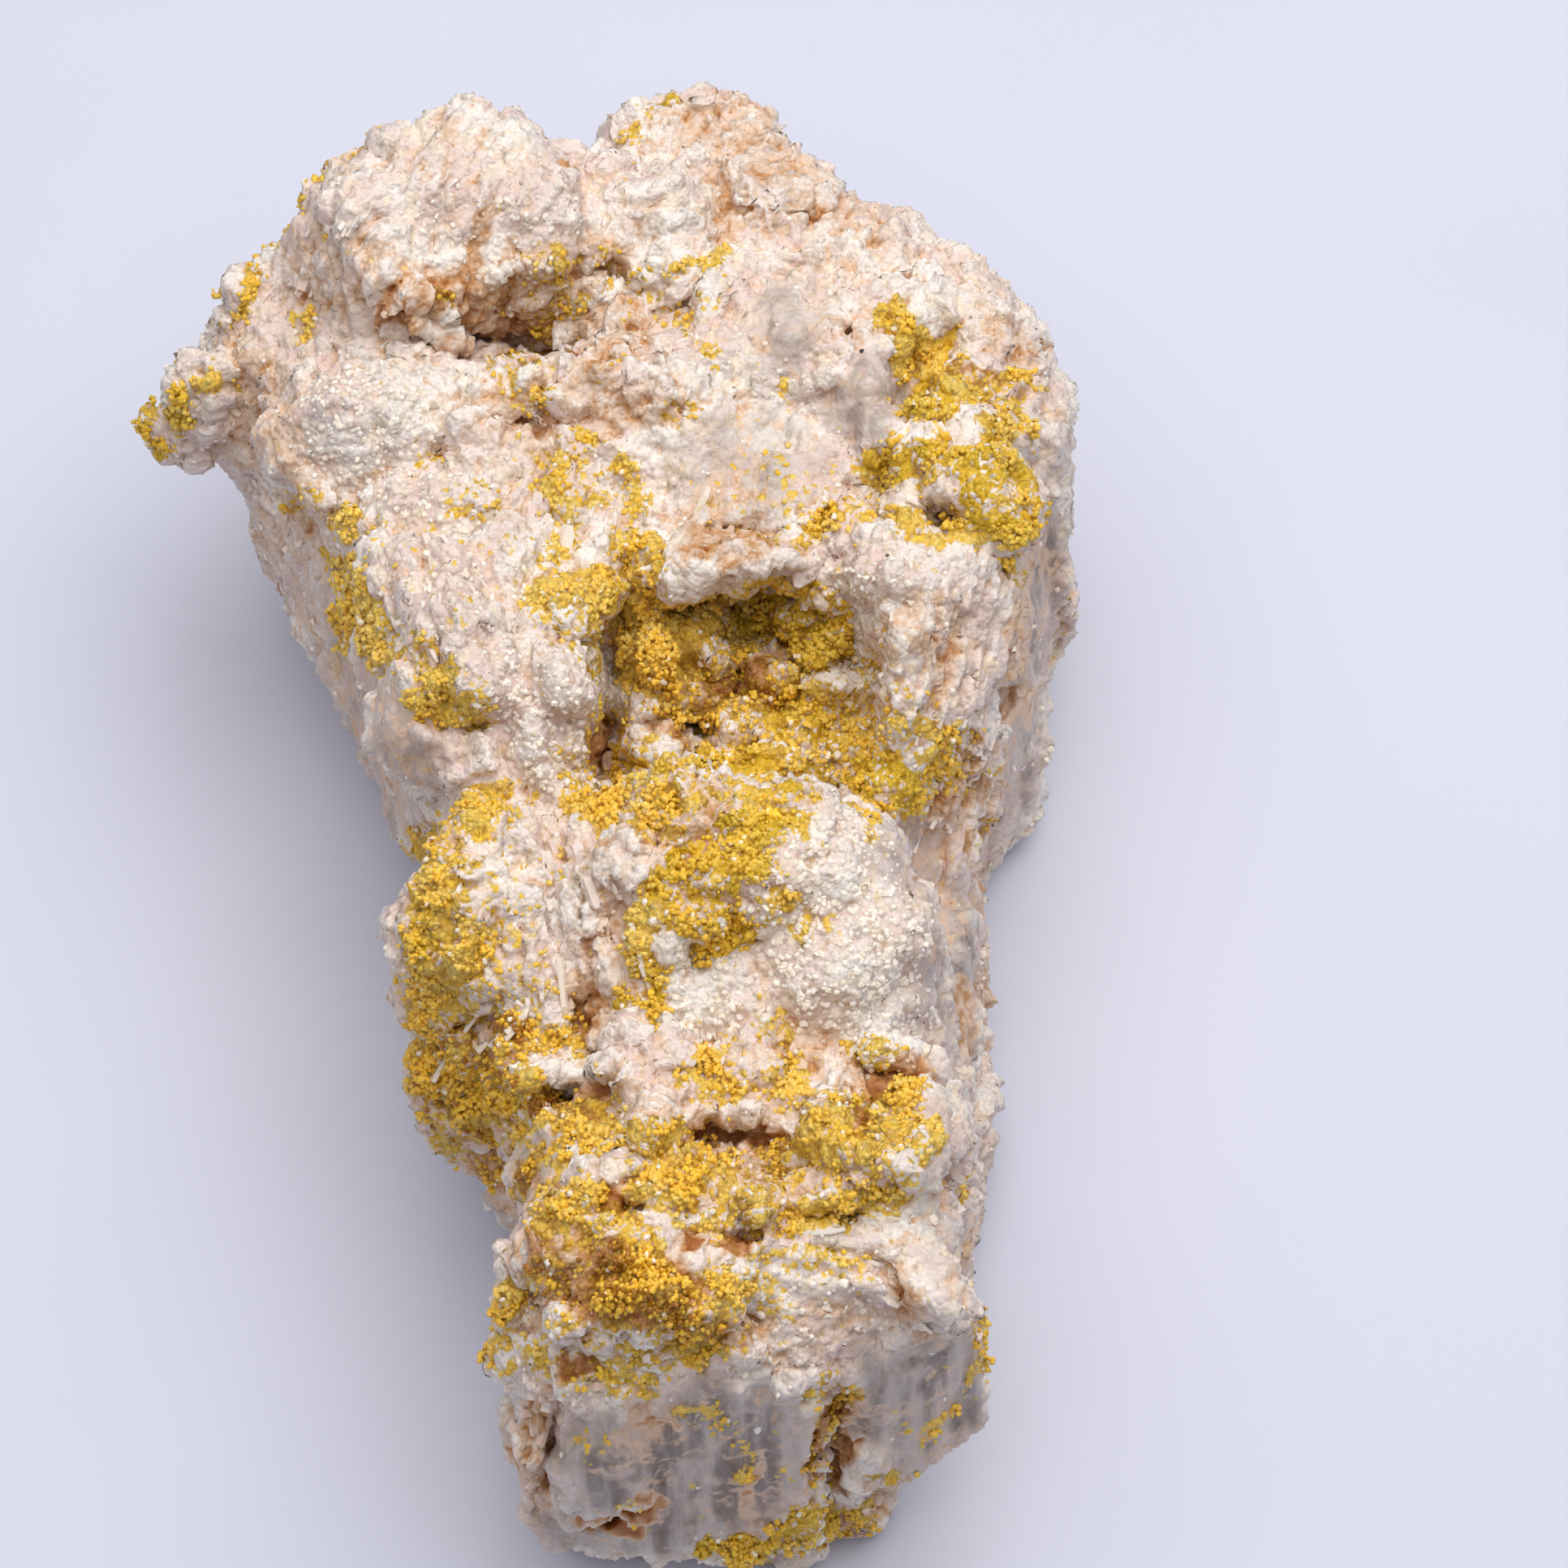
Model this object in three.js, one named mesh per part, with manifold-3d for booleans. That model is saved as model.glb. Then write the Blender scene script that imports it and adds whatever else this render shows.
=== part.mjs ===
// Pyromorphite specimen: granular yellow-green pyromorphite crusts on a lump of bladed white baryte.
// The lump is club-shaped and lies on its flat broken underside, with its narrow end towards -Y.
// Millimetres, +Z up. The origin is on the resting plane, under the middle of the bounding box.

import * as THREE from "three";
import { ConvexGeometry } from "three/addons/geometries/ConvexGeometry.js";
import { mergeVertices } from "three/addons/utils/BufferGeometryUtils.js";
import Module from "manifold-3d";

const wasm = await Module();
wasm.setup();

// ---------------------------------------------------------------- driving dimensions

// The line inside the lump that its skin is spread around, with the rows of facets along it (caps is the rows
// at each end) and the facets around it.
const AXIS = { wide: [-8, 30, 13], narrow: [-3, -30, 13], caps: 6, rows: 22, around: 40 };

// How far the rough skin wanders, and over what length.
const CRAGS = [
  { size: 0.5, cell: 7 },
  { size: 0.5, cell: 3 },
];

// Small lumps all over: how many, their smallest and largest half length, how thick they are as a share of
// it, and the share of the thickness that is sunk into the rock.
const CHUNKS = { count: 90, half: [2.2, 4.2], flatness: 0.5, sink: 0.5, seed: 9 };

// How boxy (1 is an ellipsoid, 0 a box) and how uneven a broken block is.
const LUMP = { square: 0.5, rough: 0.2, corners: 14 };
const GOLDEN_ANGLE = Math.PI * (3 - Math.sqrt(5));
const FLOOR = { wide: 200, deep: 60 }; // the block below the resting plane that cuts the underside flat

// The hexagonal crystals of a crust: lift is how far the middle of one is over the rock.
const KNOB = { radius: [1.9, 2.5], height: 2.4, taper: 0.8, lift: 0.3, lean: 0.9 };
const CRUST_GAP = 0.7; // growth of the matrix that cuts a crust's underside, which leaves a gap of about 0.4
const CRUST_FLOOR = 1; // no crust reaches lower than this

const PLAIN = new THREE.MeshStandardMaterial({ side: THREE.DoubleSide }); // of meshes that only rays meet
const BARYTE = new THREE.MeshStandardMaterial({ color: 0xe9ddd4, roughness: 0.55, metalness: 0 });
const PYROMORPHITE = new THREE.MeshStandardMaterial({ color: 0xb89a1c, roughness: 0.35, metalness: 0 });

// ---------------------------------------------------------------- shapes

// A stream of numbers from 0 to 1 that is the same for the same seed.
function stream(seed) {
  let state = seed >>> 0;
  return () => {
    state = (state + 0x6d2b79f5) >>> 0;
    let t = Math.imul(state ^ (state >>> 15), state | 1);
    t ^= t + Math.imul(t ^ (t >>> 7), t | 61);
    return ((t ^ (t >>> 14)) >>> 0) / 4294967296;
  };
}

function scatteredVector(random, size) {
  return new THREE.Vector3(random() - 0.5, random() - 0.5, random() - 0.5).multiplyScalar(size);
}

// A whole number that looks random but is the same for the same corner of a lattice.
function hash(corner, seed) {
  let h = seed;
  for (const c of corner) {
    h = Math.imul(h ^ c, 0x9e3779b1);
    h ^= h >>> 15;
  }
  h = Math.imul(h ^ (h >>> 13), 0x85ebca6b);
  return (h ^ (h >>> 16)) >>> 0;
}

// Smooth noise from -1 to 1 on a lattice with the given cell size.
function noise(point, cell, seed) {
  const scaled = point.toArray().map((c) => c / cell);
  const base = scaled.map(Math.floor);
  const share = scaled.map((c, i) => c - base[i]).map((f) => f * f * (3 - 2 * f));
  let sum = 0;
  for (let i = 0; i < 8; i++) {
    const bits = [i & 1, (i >> 1) & 1, i >> 2];
    const weight = bits.reduce((w, bit, k) => w * (bit ? share[k] : 1 - share[k]), 1);
    sum += weight * (hash(bits.map((bit, k) => base[k] + bit), seed) / 2147483648 - 1);
  }
  return sum;
}

// Unit directions spread evenly over a sphere.
function directions(count) {
  return Array.from({ length: count }, (_, i) => {
    const z = 1 - (2 * i + 1) / count;
    const r = Math.sqrt(1 - z * z);
    return new THREE.Vector3(r * Math.cos(GOLDEN_ANGLE * i), r * Math.sin(GOLDEN_ANGLE * i), z);
  });
}

function placed(at, turn) {
  const euler = new THREE.Euler(...turn.map(THREE.MathUtils.degToRad));
  const rotation = new THREE.Quaternion().setFromEuler(euler);
  return new THREE.Matrix4().compose(new THREE.Vector3(...at), rotation, new THREE.Vector3(1, 1, 1));
}

// A closed geometry as a manifold-3d solid.
function solid(geometry) {
  const plain = new THREE.BufferGeometry().setAttribute("position", geometry.getAttribute("position"));
  if (geometry.index) plain.setIndex(geometry.index);
  const merged = mergeVertices(plain, 1e-4);
  return new wasm.Manifold(
    new wasm.Mesh({
      numProp: 3,
      vertProperties: merged.attributes.position.array,
      triVerts: new Uint32Array(merged.index.array),
    }),
  );
}

function meshOf(manifold, material, name) {
  const { vertProperties, triVerts } = manifold.getMesh();
  const geometry = new THREE.BufferGeometry();
  geometry.setAttribute("position", new THREE.BufferAttribute(new Float32Array(vertProperties), 3));
  geometry.setIndex(new THREE.BufferAttribute(new Uint32Array(triVerts), 1));
  geometry.computeVertexNormals();
  const mesh = new THREE.Mesh(geometry, material);
  mesh.name = name;
  return mesh;
}

// The largest separate body of a solid.
function largest(manifold) {
  return manifold.decompose().sort((a, b) => b.volume() - a.volume())[0];
}

function below(height) {
  const { wide, deep } = FLOOR;
  return solid(new THREE.BoxGeometry(wide, wide, deep).translate(0, 0, height - deep / 2));
}

// A mass of rock: the convex hull of its outlines at several heights, [[z, [[x, y], ...]], ...].
function mass(levels, grow = 0) {
  const points = levels.flatMap(([z, outline]) => outline.map(([x, y]) => new THREE.Vector3(x, y, z)));
  const middle = points.reduce((sum, p) => sum.add(p), new THREE.Vector3()).divideScalar(points.length);
  for (const p of points) p.add(p.clone().sub(middle).normalize().multiplyScalar(grow * 1.5));
  return solid(new ConvexGeometry(points));
}

// A broken block: the convex hull of uneven points on a rounded box.
function block({ at, half, turn = [0, 0, 0], seed, corners = LUMP.corners }, grow = 0) {
  const random = stream(seed);
  const power = 2 / LUMP.square;
  const size = new THREE.Vector3(...half.map((h) => h + grow));
  const points = directions(corners).map((d) => {
    const length = d.toArray().reduce((sum, c) => sum + Math.abs(c) ** power, 0) ** (-1 / power);
    return d.multiplyScalar(length * (1 + LUMP.rough * (2 * random() - 1))).multiply(size);
  });
  return solid(new ConvexGeometry(points).applyMatrix4(placed(at, turn)));
}

// A tabular crystal: a hexagonal plate of width, length and thickness that stands on foot and points along.
function plate({ foot, along, face, size: [width, length, thickness] }, grow = 0) {
  const w = width / 2 + grow;
  const l = length + grow;
  const outline = new THREE.Shape([
    new THREE.Vector2(-w, -grow),
    new THREE.Vector2(w, -grow),
    new THREE.Vector2(w, l * 0.7),
    new THREE.Vector2(w * 0.45, l),
    new THREE.Vector2(-w * 0.55, l * 0.96),
    new THREE.Vector2(-w, l * 0.6),
  ]);
  const depth = thickness + 2 * grow;
  const geometry = new THREE.ExtrudeGeometry(outline, { depth, bevelEnabled: false });
  const up = new THREE.Vector3(...along).normalize();
  const side = new THREE.Vector3().crossVectors(up, new THREE.Vector3(...face)).normalize();
  const normal = new THREE.Vector3().crossVectors(side, up);
  const basis = new THREE.Matrix4().makeBasis(side, up, normal).setPosition(...foot);
  return solid(geometry.translate(0, 0, -depth / 2).applyMatrix4(basis));
}

// ---------------------------------------------------------------- the baryte matrix

// The masses of the lump, from the wide end to the narrow end. Each is its outlines at a few heights.
const WIDE_BODY = [
  [-2, [
    [-24, 25], [-21, 16], [-16, 9], [-8, 4], [7, 3], [12, 12],
    [13, 22], [10, 32], [0, 38], [-14, 38], [-22, 33],
  ]],
  [5, [
    [-30.5, 27.5], [-26, 17], [-21.5, 8.5], [-12, 1], [9, 2], [15, 14],
    [16, 26], [9, 36], [-6, 42], [-22, 38],
  ]],
  [13, [
    [-32, 28.5], [-25, 14], [-20.5, 4], [-12, 0], [9, 2], [14, 14],
    [17.4, 29.5], [8, 40], [-6, 45], [-24, 40],
  ]],
  [22, [
    [-30, 30], [-24.5, 14], [-20, 3.5], [-12, 0], [7.5, 1.5], [13, 12],
    [16.5, 30], [8, 40], [-6, 44], [-22, 40],
  ]],
  [28, [[-24, 28], [-23, 15], [-16, 4], [5, 4], [10, 14], [12, 30], [4, 38], [-14, 38]]],
];
const LEFT_PEAK = [
  [18, [[-30, 35], [-29, 30], [-10, 29], [-9, 35], [-12, 42], [-24, 42]]],
  [26, [[-30.6, 36.4], [-31, 33.5], [-24, 28.5], [-12, 29.5], [-10, 34], [-12.5, 41], [-25, 40]]],
  [34, [[-25.5, 37.5], [-20.5, 41], [-17, 40.5], [-14.3, 40.6], [-13, 35], [-17, 31.5], [-24, 32.5]]],
];
const RIGHT_PEAK = [
  [4, [[-12, 36], [-10, 44], [-4, 46], [3, 42], [3, 34]]],
  [18, [[-12.5, 38], [-10.5, 47], [-5, 49.5], [2, 45], [6, 38]]],
  [26.5, [[-11, 45], [-9, 48.4], [-5.6, 49], [-1.5, 47], [2, 42], [-2, 36], [-10, 36]]],
];
const BACK_SHOULDER = [
  [4, [[2, 34], [4, 41], [12, 36], [15, 27]]],
  [16, [[2, 36], [4, 43.5], [10, 40], [17, 33], [16, 26]]],
  [25, [[1, 36], [4, 42.5], [10, 37.5], [15, 33], [14, 24], [6, 24]]],
];
const LEFT_HORN = [
  [11, [[-33, 28.5], [-31, 26.5], [-30, 32], [-33, 33]]],
  [18.5, [[-35, 29.2], [-34.8, 32.2], [-33, 34.2], [-28, 34], [-28, 27], [-32, 26.8]]],
  [25, [[-33.5, 32.5], [-31.5, 34.2], [-28, 34], [-28, 29], [-31, 29.5]]],
];
const LEFT_RIM = [
  [8, [[-24.5, 14], [-21, 5], [-17, 1], [-11, 3], [-12, 14]]],
  [24, [[-24.8, 15], [-24, 9.5], [-20.4, 2.5], [-17, 0], [-11.5, 0], [-10, 5], [-12, 16]]],
  [30, [[-23.5, 14.5], [-22, 10], [-18, 4], [-13, 1.5], [-12.5, 10], [-15, 15]]],
];
const RIGHT_RIM = [
  [10, [[5, 1], [9.5, 2.5], [14, 11], [14, 20], [6, 18]]],
  [22, [[5, 0.5], [9.5, 3.5], [13.5, 12], [14.5, 22], [5, 20]]],
  [30, [[4.5, 5], [8, 6.5], [11, 13], [10, 20], [4, 16]]],
];
const MIDDLE_BLOCK = [
  [-2, [[-14, -1], [-13, -12], [-3, -15], [5, -13], [8, -5], [6, 4], [-10, 5]]],
  [8, [[-18.4, -2], [-18, -14], [-12, -17], [3, -17], [8, -12], [9.5, -3], [6, 4], [-14, 4]]],
  [20, [
    [-18.8, -1.5], [-19.3, -8], [-18.6, -13.5], [-12, -17], [3, -17], [8, -13], [8.5, -6], [4, 2], [-14, 2],
  ]],
  [27, [
    [-18, -2], [-18.2, -6], [-16, -14.5], [-8, -15.5], [3, -14.5],
    [7.3, -10], [6, -6], [3, -2.5], [-8, -1.5],
  ]],
  [29.5, [[-4, -2.2], [3.2, -3], [5, -5.5], [4, -9], [-4, -6]]],
];
const RIGHT_FLANGE = [
  [-2, [[4, 6], [10, 2], [10.5, -6], [9, -16], [4, -18]]],
  [5, [[4, 8], [11.8, 4], [11.4, -2], [10.6, -13], [10.8, -18], [4, -22]]],
  [16, [[4, 6], [8.6, 0], [9, -10], [8.4, -17], [3, -20]]],
];
const NECK = [
  [-2, [[-10, -12], [-10, -26], [4, -28], [8, -20], [6, -10]]],
  [14, [[-15.5, -14], [-13, -26], [-8, -29], [6, -29], [10, -20], [9, -10]]],
  [27.5, [[-12, -20], [-12.8, -26], [-8, -28.5], [6.5, -28.5], [8.3, -22.5], [5, -17], [-6, -17]]],
];
const NARROW_END = [
  [-2, [[-11, -25], [-11, -34], [-3, -34.5], [4, -32], [6, -24]]],
  [7, [[-14, -26], [-14.6, -36.6], [-6, -37], [1, -35], [5, -32], [8, -24]]],
  [16, [[-14.8, -27], [-14.9, -33.6], [-8, -36.4], [1, -34.8], [6, -33], [9, -26]]],
  [24, [
    [-14.9, -27.5], [-14.8, -31], [-11.5, -35.2], [-4, -35.4], [1, -34.4], [7, -31.6], [9.8, -30], [8, -24],
  ]],
  [28.5, [[-13, -26.5], [-12.5, -29.5], [-6, -30.5], [2, -30.5], [6.5, -28.5], [3, -25], [-8, -25]]],
];
const FAN = [
  [7.5, [[3, -31], [5.5, -33.6], [9, -32.6], [8, -28]]],
  [16, [[3, -30], [5, -33.8], [11, -31.2], [10.6, -27]]],
  [23, [[3, -29], [6.5, -32], [10.2, -31], [10.4, -27]]],
];
const MASSES = [
  WIDE_BODY, LEFT_PEAK, RIGHT_PEAK, BACK_SHOULDER, LEFT_HORN, LEFT_RIM, RIGHT_RIM,
  MIDDLE_BLOCK, RIGHT_FLANGE, NECK, NARROW_END, FAN,
];

// Uneven lumps that stand on the masses.
const LUMPS = [
  { at: [-13, 24.5, 26.8], half: [9, 3.2, 3], turn: [0, 0, 5], seed: 1 }, // lip under the brow
  { at: [-20.5, 31, 31.2], half: [5.6, 2.6, 3.6], turn: [0, 10, 8], seed: 2 }, // brow
  { at: [-13.4, 31.4, 31], half: [3.6, 2.4, 3.2], turn: [0, -10, -20], seed: 3 },
  { at: [-26, 24.5, 25.2], half: [4.2, 4.2, 4], turn: [0, 20, 0], seed: 4 },
  { at: [-19.5, 22.5, 26.8], half: [4.4, 3.6, 3.4], seed: 5 },
  { at: [-28.6, 31.5, 25.5], half: [3, 3.4, 2.6], seed: 6 },
  { at: [-1.2, 29.6, 27.4], half: [4.6, 5.2, 2.8], turn: [-14, 0, 20], seed: 7 }, // smooth white blades
  { at: [4.2, 25.4, 27.6], half: [3.2, 4.8, 2.8], turn: [-16, 0, 8], seed: 8 },
  { at: [-6, 22.8, 27.2], half: [4.4, 3.2, 3], seed: 9 },
  { at: [-8, 36, 27.4], half: [5, 3.6, 3], seed: 10 }, // saddle between the peaks
  { at: [1.2, 37.4, 26.2], half: [4.8, 3.2, 2.4], turn: [10, 0, -15], seed: 11 },
  { at: [7, 35.4, 24.2], half: [4, 3.6, 2.4], turn: [0, 8, -35], seed: 12 },
  { at: [12.6, 31.6, 23], half: [3, 3.4, 2.8], seed: 13 },
  { at: [14.2, 25.5, 22.5], half: [2.6, 4.4, 3.2], seed: 14 },
  { at: [6.8, 12.6, 28.8], half: [3.6, 2.2, 1.8], turn: [0, 6, 0], seed: 15 }, // right end of the rim
  { at: [10.6, 14.6, 26.5], half: [3, 4.2, 3], turn: [0, 25, 0], seed: 16 },
  { at: [2.6, -8, 27.6], half: [4.8, 6, 2.8], turn: [0, 0, -12], seed: 17 }, // sugary shoulder
  { at: [-3.5, -3, 28.2], half: [5.4, 2.6, 2.4], seed: 18 },
  { at: [-16.6, -6.5, 25.6], half: [3.6, 5.2, 3], turn: [0, -25, 0], seed: 19 },
  { at: [-18, -12.4, 14], half: [2.8, 3.4, 6], seed: 20 },
  { at: [-13.5, -15.5, 8], half: [3.4, 2.8, 5], seed: 21 },
  { at: [3.2, -24.5, 26.8], half: [4.6, 2.4, 2.4], turn: [0, 0, 8], seed: 22 },
  { at: [-7.5, -24, 26.8], half: [3.6, 2.6, 2.2], seed: 23 },
  { at: [-8.4, -29.4, 27], half: [4.8, 3, 2.2], seed: 24 },
  { at: [4.5, -28, 26.8], half: [3.8, 2.4, 2], turn: [0, 12, -15], seed: 25 },
  { at: [1.5, -33.2, 2.2], half: [4.6, 2.4, 2.8], seed: 26 },
  { at: [-33.4, 31, 18.5], half: [3, 3, 4.5], turn: [0, 25, 0], seed: 27 }, // horn
];

// Blocks that stand out of the skin too sharply to be a part of it.
const OUTCROPS = [
  { at: [-31.2, 33.2, 20.6], half: [2.8, 3.4, 5.4], turn: [0, 12, 25], seed: 61 }, // shoulder of the horn
  { at: [-25.1, 37.6, 27.8], half: [3.2, 3, 3.8], turn: [0, 12, 20], seed: 62 }, // left peak
  { at: [-21.8, 39.4, 30.6], half: [3.2, 2.2, 2.8], turn: [0, 8, 10], seed: 63 },
  { at: [-19, 40.4, 31.3], half: [3.2, 1.8, 2.4], turn: [0, -6, 0], seed: 65 },
  { at: [-11.2, 40.4, 26.2], half: [2.8, 2.6, 3], seed: 64 }, // floor of the notch between the peaks
];

// The blocks that the central hollow is cut by.
const HOLLOW = [
  { at: [-2.8, 6.8, 27], half: [8.2, 6.2, 9], seed: 31, corners: 30 }, // central hollow
  { at: [-1.8, 12.6, 22.6], half: [4.6, 3.6, 3.2], seed: 32 }, // its undercut far side
  { at: [-9.8, 3.6, 23.5], half: [2.4, 2.6, 4.6], turn: [0, -12, 0], seed: 33 }, // its near left hole
];

// The blocks that the other pockets and crevices are cut by.
const PITS = [
  { at: [-15, 28.9, 27.8], half: [6.2, 2.4, 2.7], turn: [0, 0, 4], seed: 34 }, // cave under the brow
  { at: [8.2, 27.2, 28.6], half: [2.2, 4.2, 3.4], turn: [0, 0, -18], seed: 35 }, // shoulder hollow
  { at: [8.6, 15.9, 29.6], half: [1.6, 1.4, 2.4], seed: 36 },
  { at: [5.2, 18.2, 28.6], half: [1.3, 1.6, 1.8], seed: 37 },
  { at: [-16.6, 2.4, 29.4], half: [2.4, 2.6, 2.8], turn: [20, 0, 30], seed: 38 }, // nook in the left rim
  { at: [13, 9.4, 21.6], half: [1.7, 1, 2.8], turn: [8, 0, 10], seed: 39 }, // crevices of the right wall
  { at: [11, 4.4, 18], half: [1.6, 0.9, 2.2], turn: [10, 0, 10], seed: 40 },
  { at: [11.2, 3.4, 12.6], half: [1.6, 0.9, 2.4], turn: [-8, 0, 10], seed: 41 },
  { at: [-10.6, -18.4, 23.8], half: [2.8, 2, 2], turn: [0, 0, 12], seed: 42 }, // pocket under the ledge
  { at: [-3.2, -22, 28.2], half: [2.8, 1.6, 2.3], turn: [0, 0, -16], seed: 43 },
  { at: [5.6, -18.6, 27.6], half: [2.3, 2.4, 2.2], seed: 44 },
  { at: [-3.4, -28, 29], half: [1.9, 0.9, 1.7], turn: [0, 0, -8], seed: 45 },
  { at: [2.8, -34.4, 13], half: [1.4, 1.8, 8.4], turn: [0, 3, 0], seed: 46 }, // recess of the narrow end
  { at: [-9.8, -37.3, 8.6], half: [2.6, 1.3, 0.8], turn: [0, 22, 0], seed: 47 }, // cleft below the step
  { at: [-12, 41.5, 20], half: [2.2, 3.4, 9], turn: [0, 0, 10], seed: 48 }, // furrow between the peaks
  { at: [3.4, 45.5, 18], half: [2.2, 3, 9], turn: [0, 0, -24], seed: 49 },
];

// Books of tabular crystals: equal plates side by side. step is the offset from each plate to the next,
// and spread is how much each leans away from the one before.
const BOOKS = [
  // standing blades of the left rim
  { count: 3, foot: [-21.4, 14, 27.8], step: [2.7, 0.4, -0.1],
    along: [0.3, -1, -0.06], face: [0.95, 0.3, 0], size: [5.6, 9.4, 1.5] },
  // lip over the far side of the hollow
  { count: 1, foot: [-8, 14.8, 27.6], along: [-0.25, -1, -0.1], face: [0, -0.1, 1], size: [5, 3.6, 1.5] },
  { count: 1, foot: [-2.4, 15.4, 28], along: [0, -1, -0.14], face: [0, -0.14, 1], size: [7, 4.2, 1.6] },
  // fan of the middle block
  { count: 3, foot: [-14.4, -3, 27.6], step: [2.9, -0.3, 0.1], spread: 0.1,
    along: [0.12, -1, -0.1], face: [1, 0.12, 0], size: [4.4, 9.6, 1.4] },
  // diagonal book low on the left
  { count: 3, foot: [-18.8, -11.8, 21.6], step: [0.5, -0.9, -0.8],
    along: [1, 0.25, 0.65], face: [-0.3, 0.8, 0.6], size: [3, 6.4, 0.8] },
  // ledge above the pocket
  { count: 2, foot: [-11.6, -13.4, 25.4], step: [0.4, 0.3, -1.1],
    along: [-0.2, -1, -0.22], face: [0.1, -0.2, 1], size: [7.4, 5, 0.9] },
  // parallel blades right of the neck
  { count: 4, foot: [1.2, -25.4, 26.8], step: [0.5, -1.5, -0.2],
    along: [1, -0.28, 0.02], face: [0.25, 1, 0.15], size: [3.4, 7, 1] },
  // cleavage slabs of the narrow end
  { count: 2, foot: [-1.4, -36, 4.6], step: [-6, 0.4, 1],
    along: [0.05, 0.09, 1], face: [0.06, -1, 0.08], size: [6.4, 18, 1.5] },
  { count: 1, foot: [-9.4, -36.8, 10.4], along: [-0.05, 0.1, 1], face: [-0.05, -1, 0.08], size: [5, 9, 1.8] },
  { count: 3, foot: [8.7, -31.2, 7.5], step: [-1.5, -0.2, -0.6],
    along: [0, 0.08, 1], face: [0.7, -0.7, 0.1], size: [5.4, 15.5, 1] },
  // slabs of the right side
  { count: 2, foot: [10.4, -2, 3], step: [-0.6, 4.6, 1],
    along: [-0.05, -0.06, 1], face: [1, -0.2, 0.1], size: [6, 12, 1.6] },
  { count: 2, foot: [9.6, -8, 3], step: [0.2, -6.2, -1],
    along: [-0.08, 0, 1], face: [1, -0.1, 0.12], size: [7, 14.5, 1.5] },
  { count: 2, foot: [15.6, 23.6, 7], step: [-0.9, 6, 1],
    along: [0.04, 0.1, 1], face: [1, 0.05, 0.02], size: [7.5, 13, 1.4] },
  // upright blades of the back
  { count: 3, foot: [-23.4, 38.6, 18], step: [3.4, 1.1, 0.4],
    along: [0.05, 0.05, 1], face: [0.9, -0.4, 0], size: [5, 12.6, 1.5] },
  { count: 3, foot: [-6.4, 46.2, 10], step: [3.4, -1.7, -0.4],
    along: [0, 0.05, 1], face: [0.9, 0.5, 0], size: [5, 14.6, 1.6] },
];

function platesOf({ count, foot, along, step = [0, 0, 0], spread = 0, ...rest }) {
  return Array.from({ length: count }, (_, i) => ({
    ...rest,
    foot: foot.map((c, k) => c + step[k] * i),
    along: [along[0] + spread * (i - (count - 1) / 2), along[1], along[2]],
  }));
}

// The first point of a surface on a ray, with its outward normal, or nothing.
function spotOn(surface, origin, direction) {
  const [hit] = new THREE.Raycaster(origin, direction).intersectObject(surface, false);
  return hit && { point: hit.point, normal: hit.face.normal.clone(), distance: hit.distance };
}

// Blocks laid on a surface from all sides, flat against it, a share of their thickness sunk into it.
function chunksOn(surface, { count, half, flatness, sink, seed }) {
  const random = stream(seed);
  const [, narrowY, height] = AXIS.narrow;
  const wideY = AXIS.wide[1];
  return directions(count).flatMap((d, i) => {
    const middle = new THREE.Vector3(AXIS.wide[0], THREE.MathUtils.lerp(narrowY, wideY, random()), height);
    const spot = spotOn(surface, middle.addScaledVector(d, FLOOR.wide), d.clone().negate());
    if (!spot) return [];
    const long = THREE.MathUtils.lerp(...half, random() ** 1.6);
    const thick = long * flatness;
    const at = spot.point.addScaledVector(spot.normal, -thick * sink);
    const up = spot.normal.add(scatteredVector(random, 0.5)).normalize();
    const lie = new THREE.Quaternion().setFromUnitVectors(new THREE.Vector3(0, 0, 1), up);
    const spin = new THREE.Quaternion().setFromAxisAngle(new THREE.Vector3(0, 0, 1), random() * Math.PI);
    const euler = new THREE.Euler().setFromQuaternion(lie.multiply(spin));
    const turn = [euler.x, euler.y, euler.z].map(THREE.MathUtils.radToDeg);
    const wide = long * THREE.MathUtils.lerp(0.55, 0.9, random());
    return { at: at.toArray(), half: [long, wide, thick], turn, corners: 12, seed: seed + i };
  });
}

// Rays that fan out from the line inside the lump, row by row from its wide end to its narrow end.
function rayRows() {
  const { caps, rows, around } = AXIS;
  const from = new THREE.Vector3(...AXIS.wide);
  const to = new THREE.Vector3(...AXIS.narrow);
  const along = to.clone().sub(from).normalize();
  const tilt = (i) => ((Math.PI / 2) * i) / (caps + 1);
  const steps = [
    ...Array.from({ length: caps }, (_, i) => ({ share: 0, lean: tilt(i - caps) })),
    ...Array.from({ length: rows }, (_, i) => ({ share: i / (rows - 1), lean: 0 })),
    ...Array.from({ length: caps }, (_, i) => ({ share: 1, lean: tilt(i + 1) })),
  ];
  const grid = steps.map(({ share, lean }, row) =>
    Array.from({ length: around }, (_, i) => {
      const angle = (2 * Math.PI * (i + (row % 2) / 2)) / around;
      const outward = new THREE.Vector3(Math.sin(angle), 0, Math.cos(angle)).multiplyScalar(Math.cos(lean));
      const direction = outward.addScaledVector(along, Math.sin(lean)).normalize();
      return { origin: from.clone().lerp(to, share), direction };
    }),
  );
  const first = { origin: from, direction: along.clone().negate() };
  return { first, grid, last: { origin: to, direction: along } };
}

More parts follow.
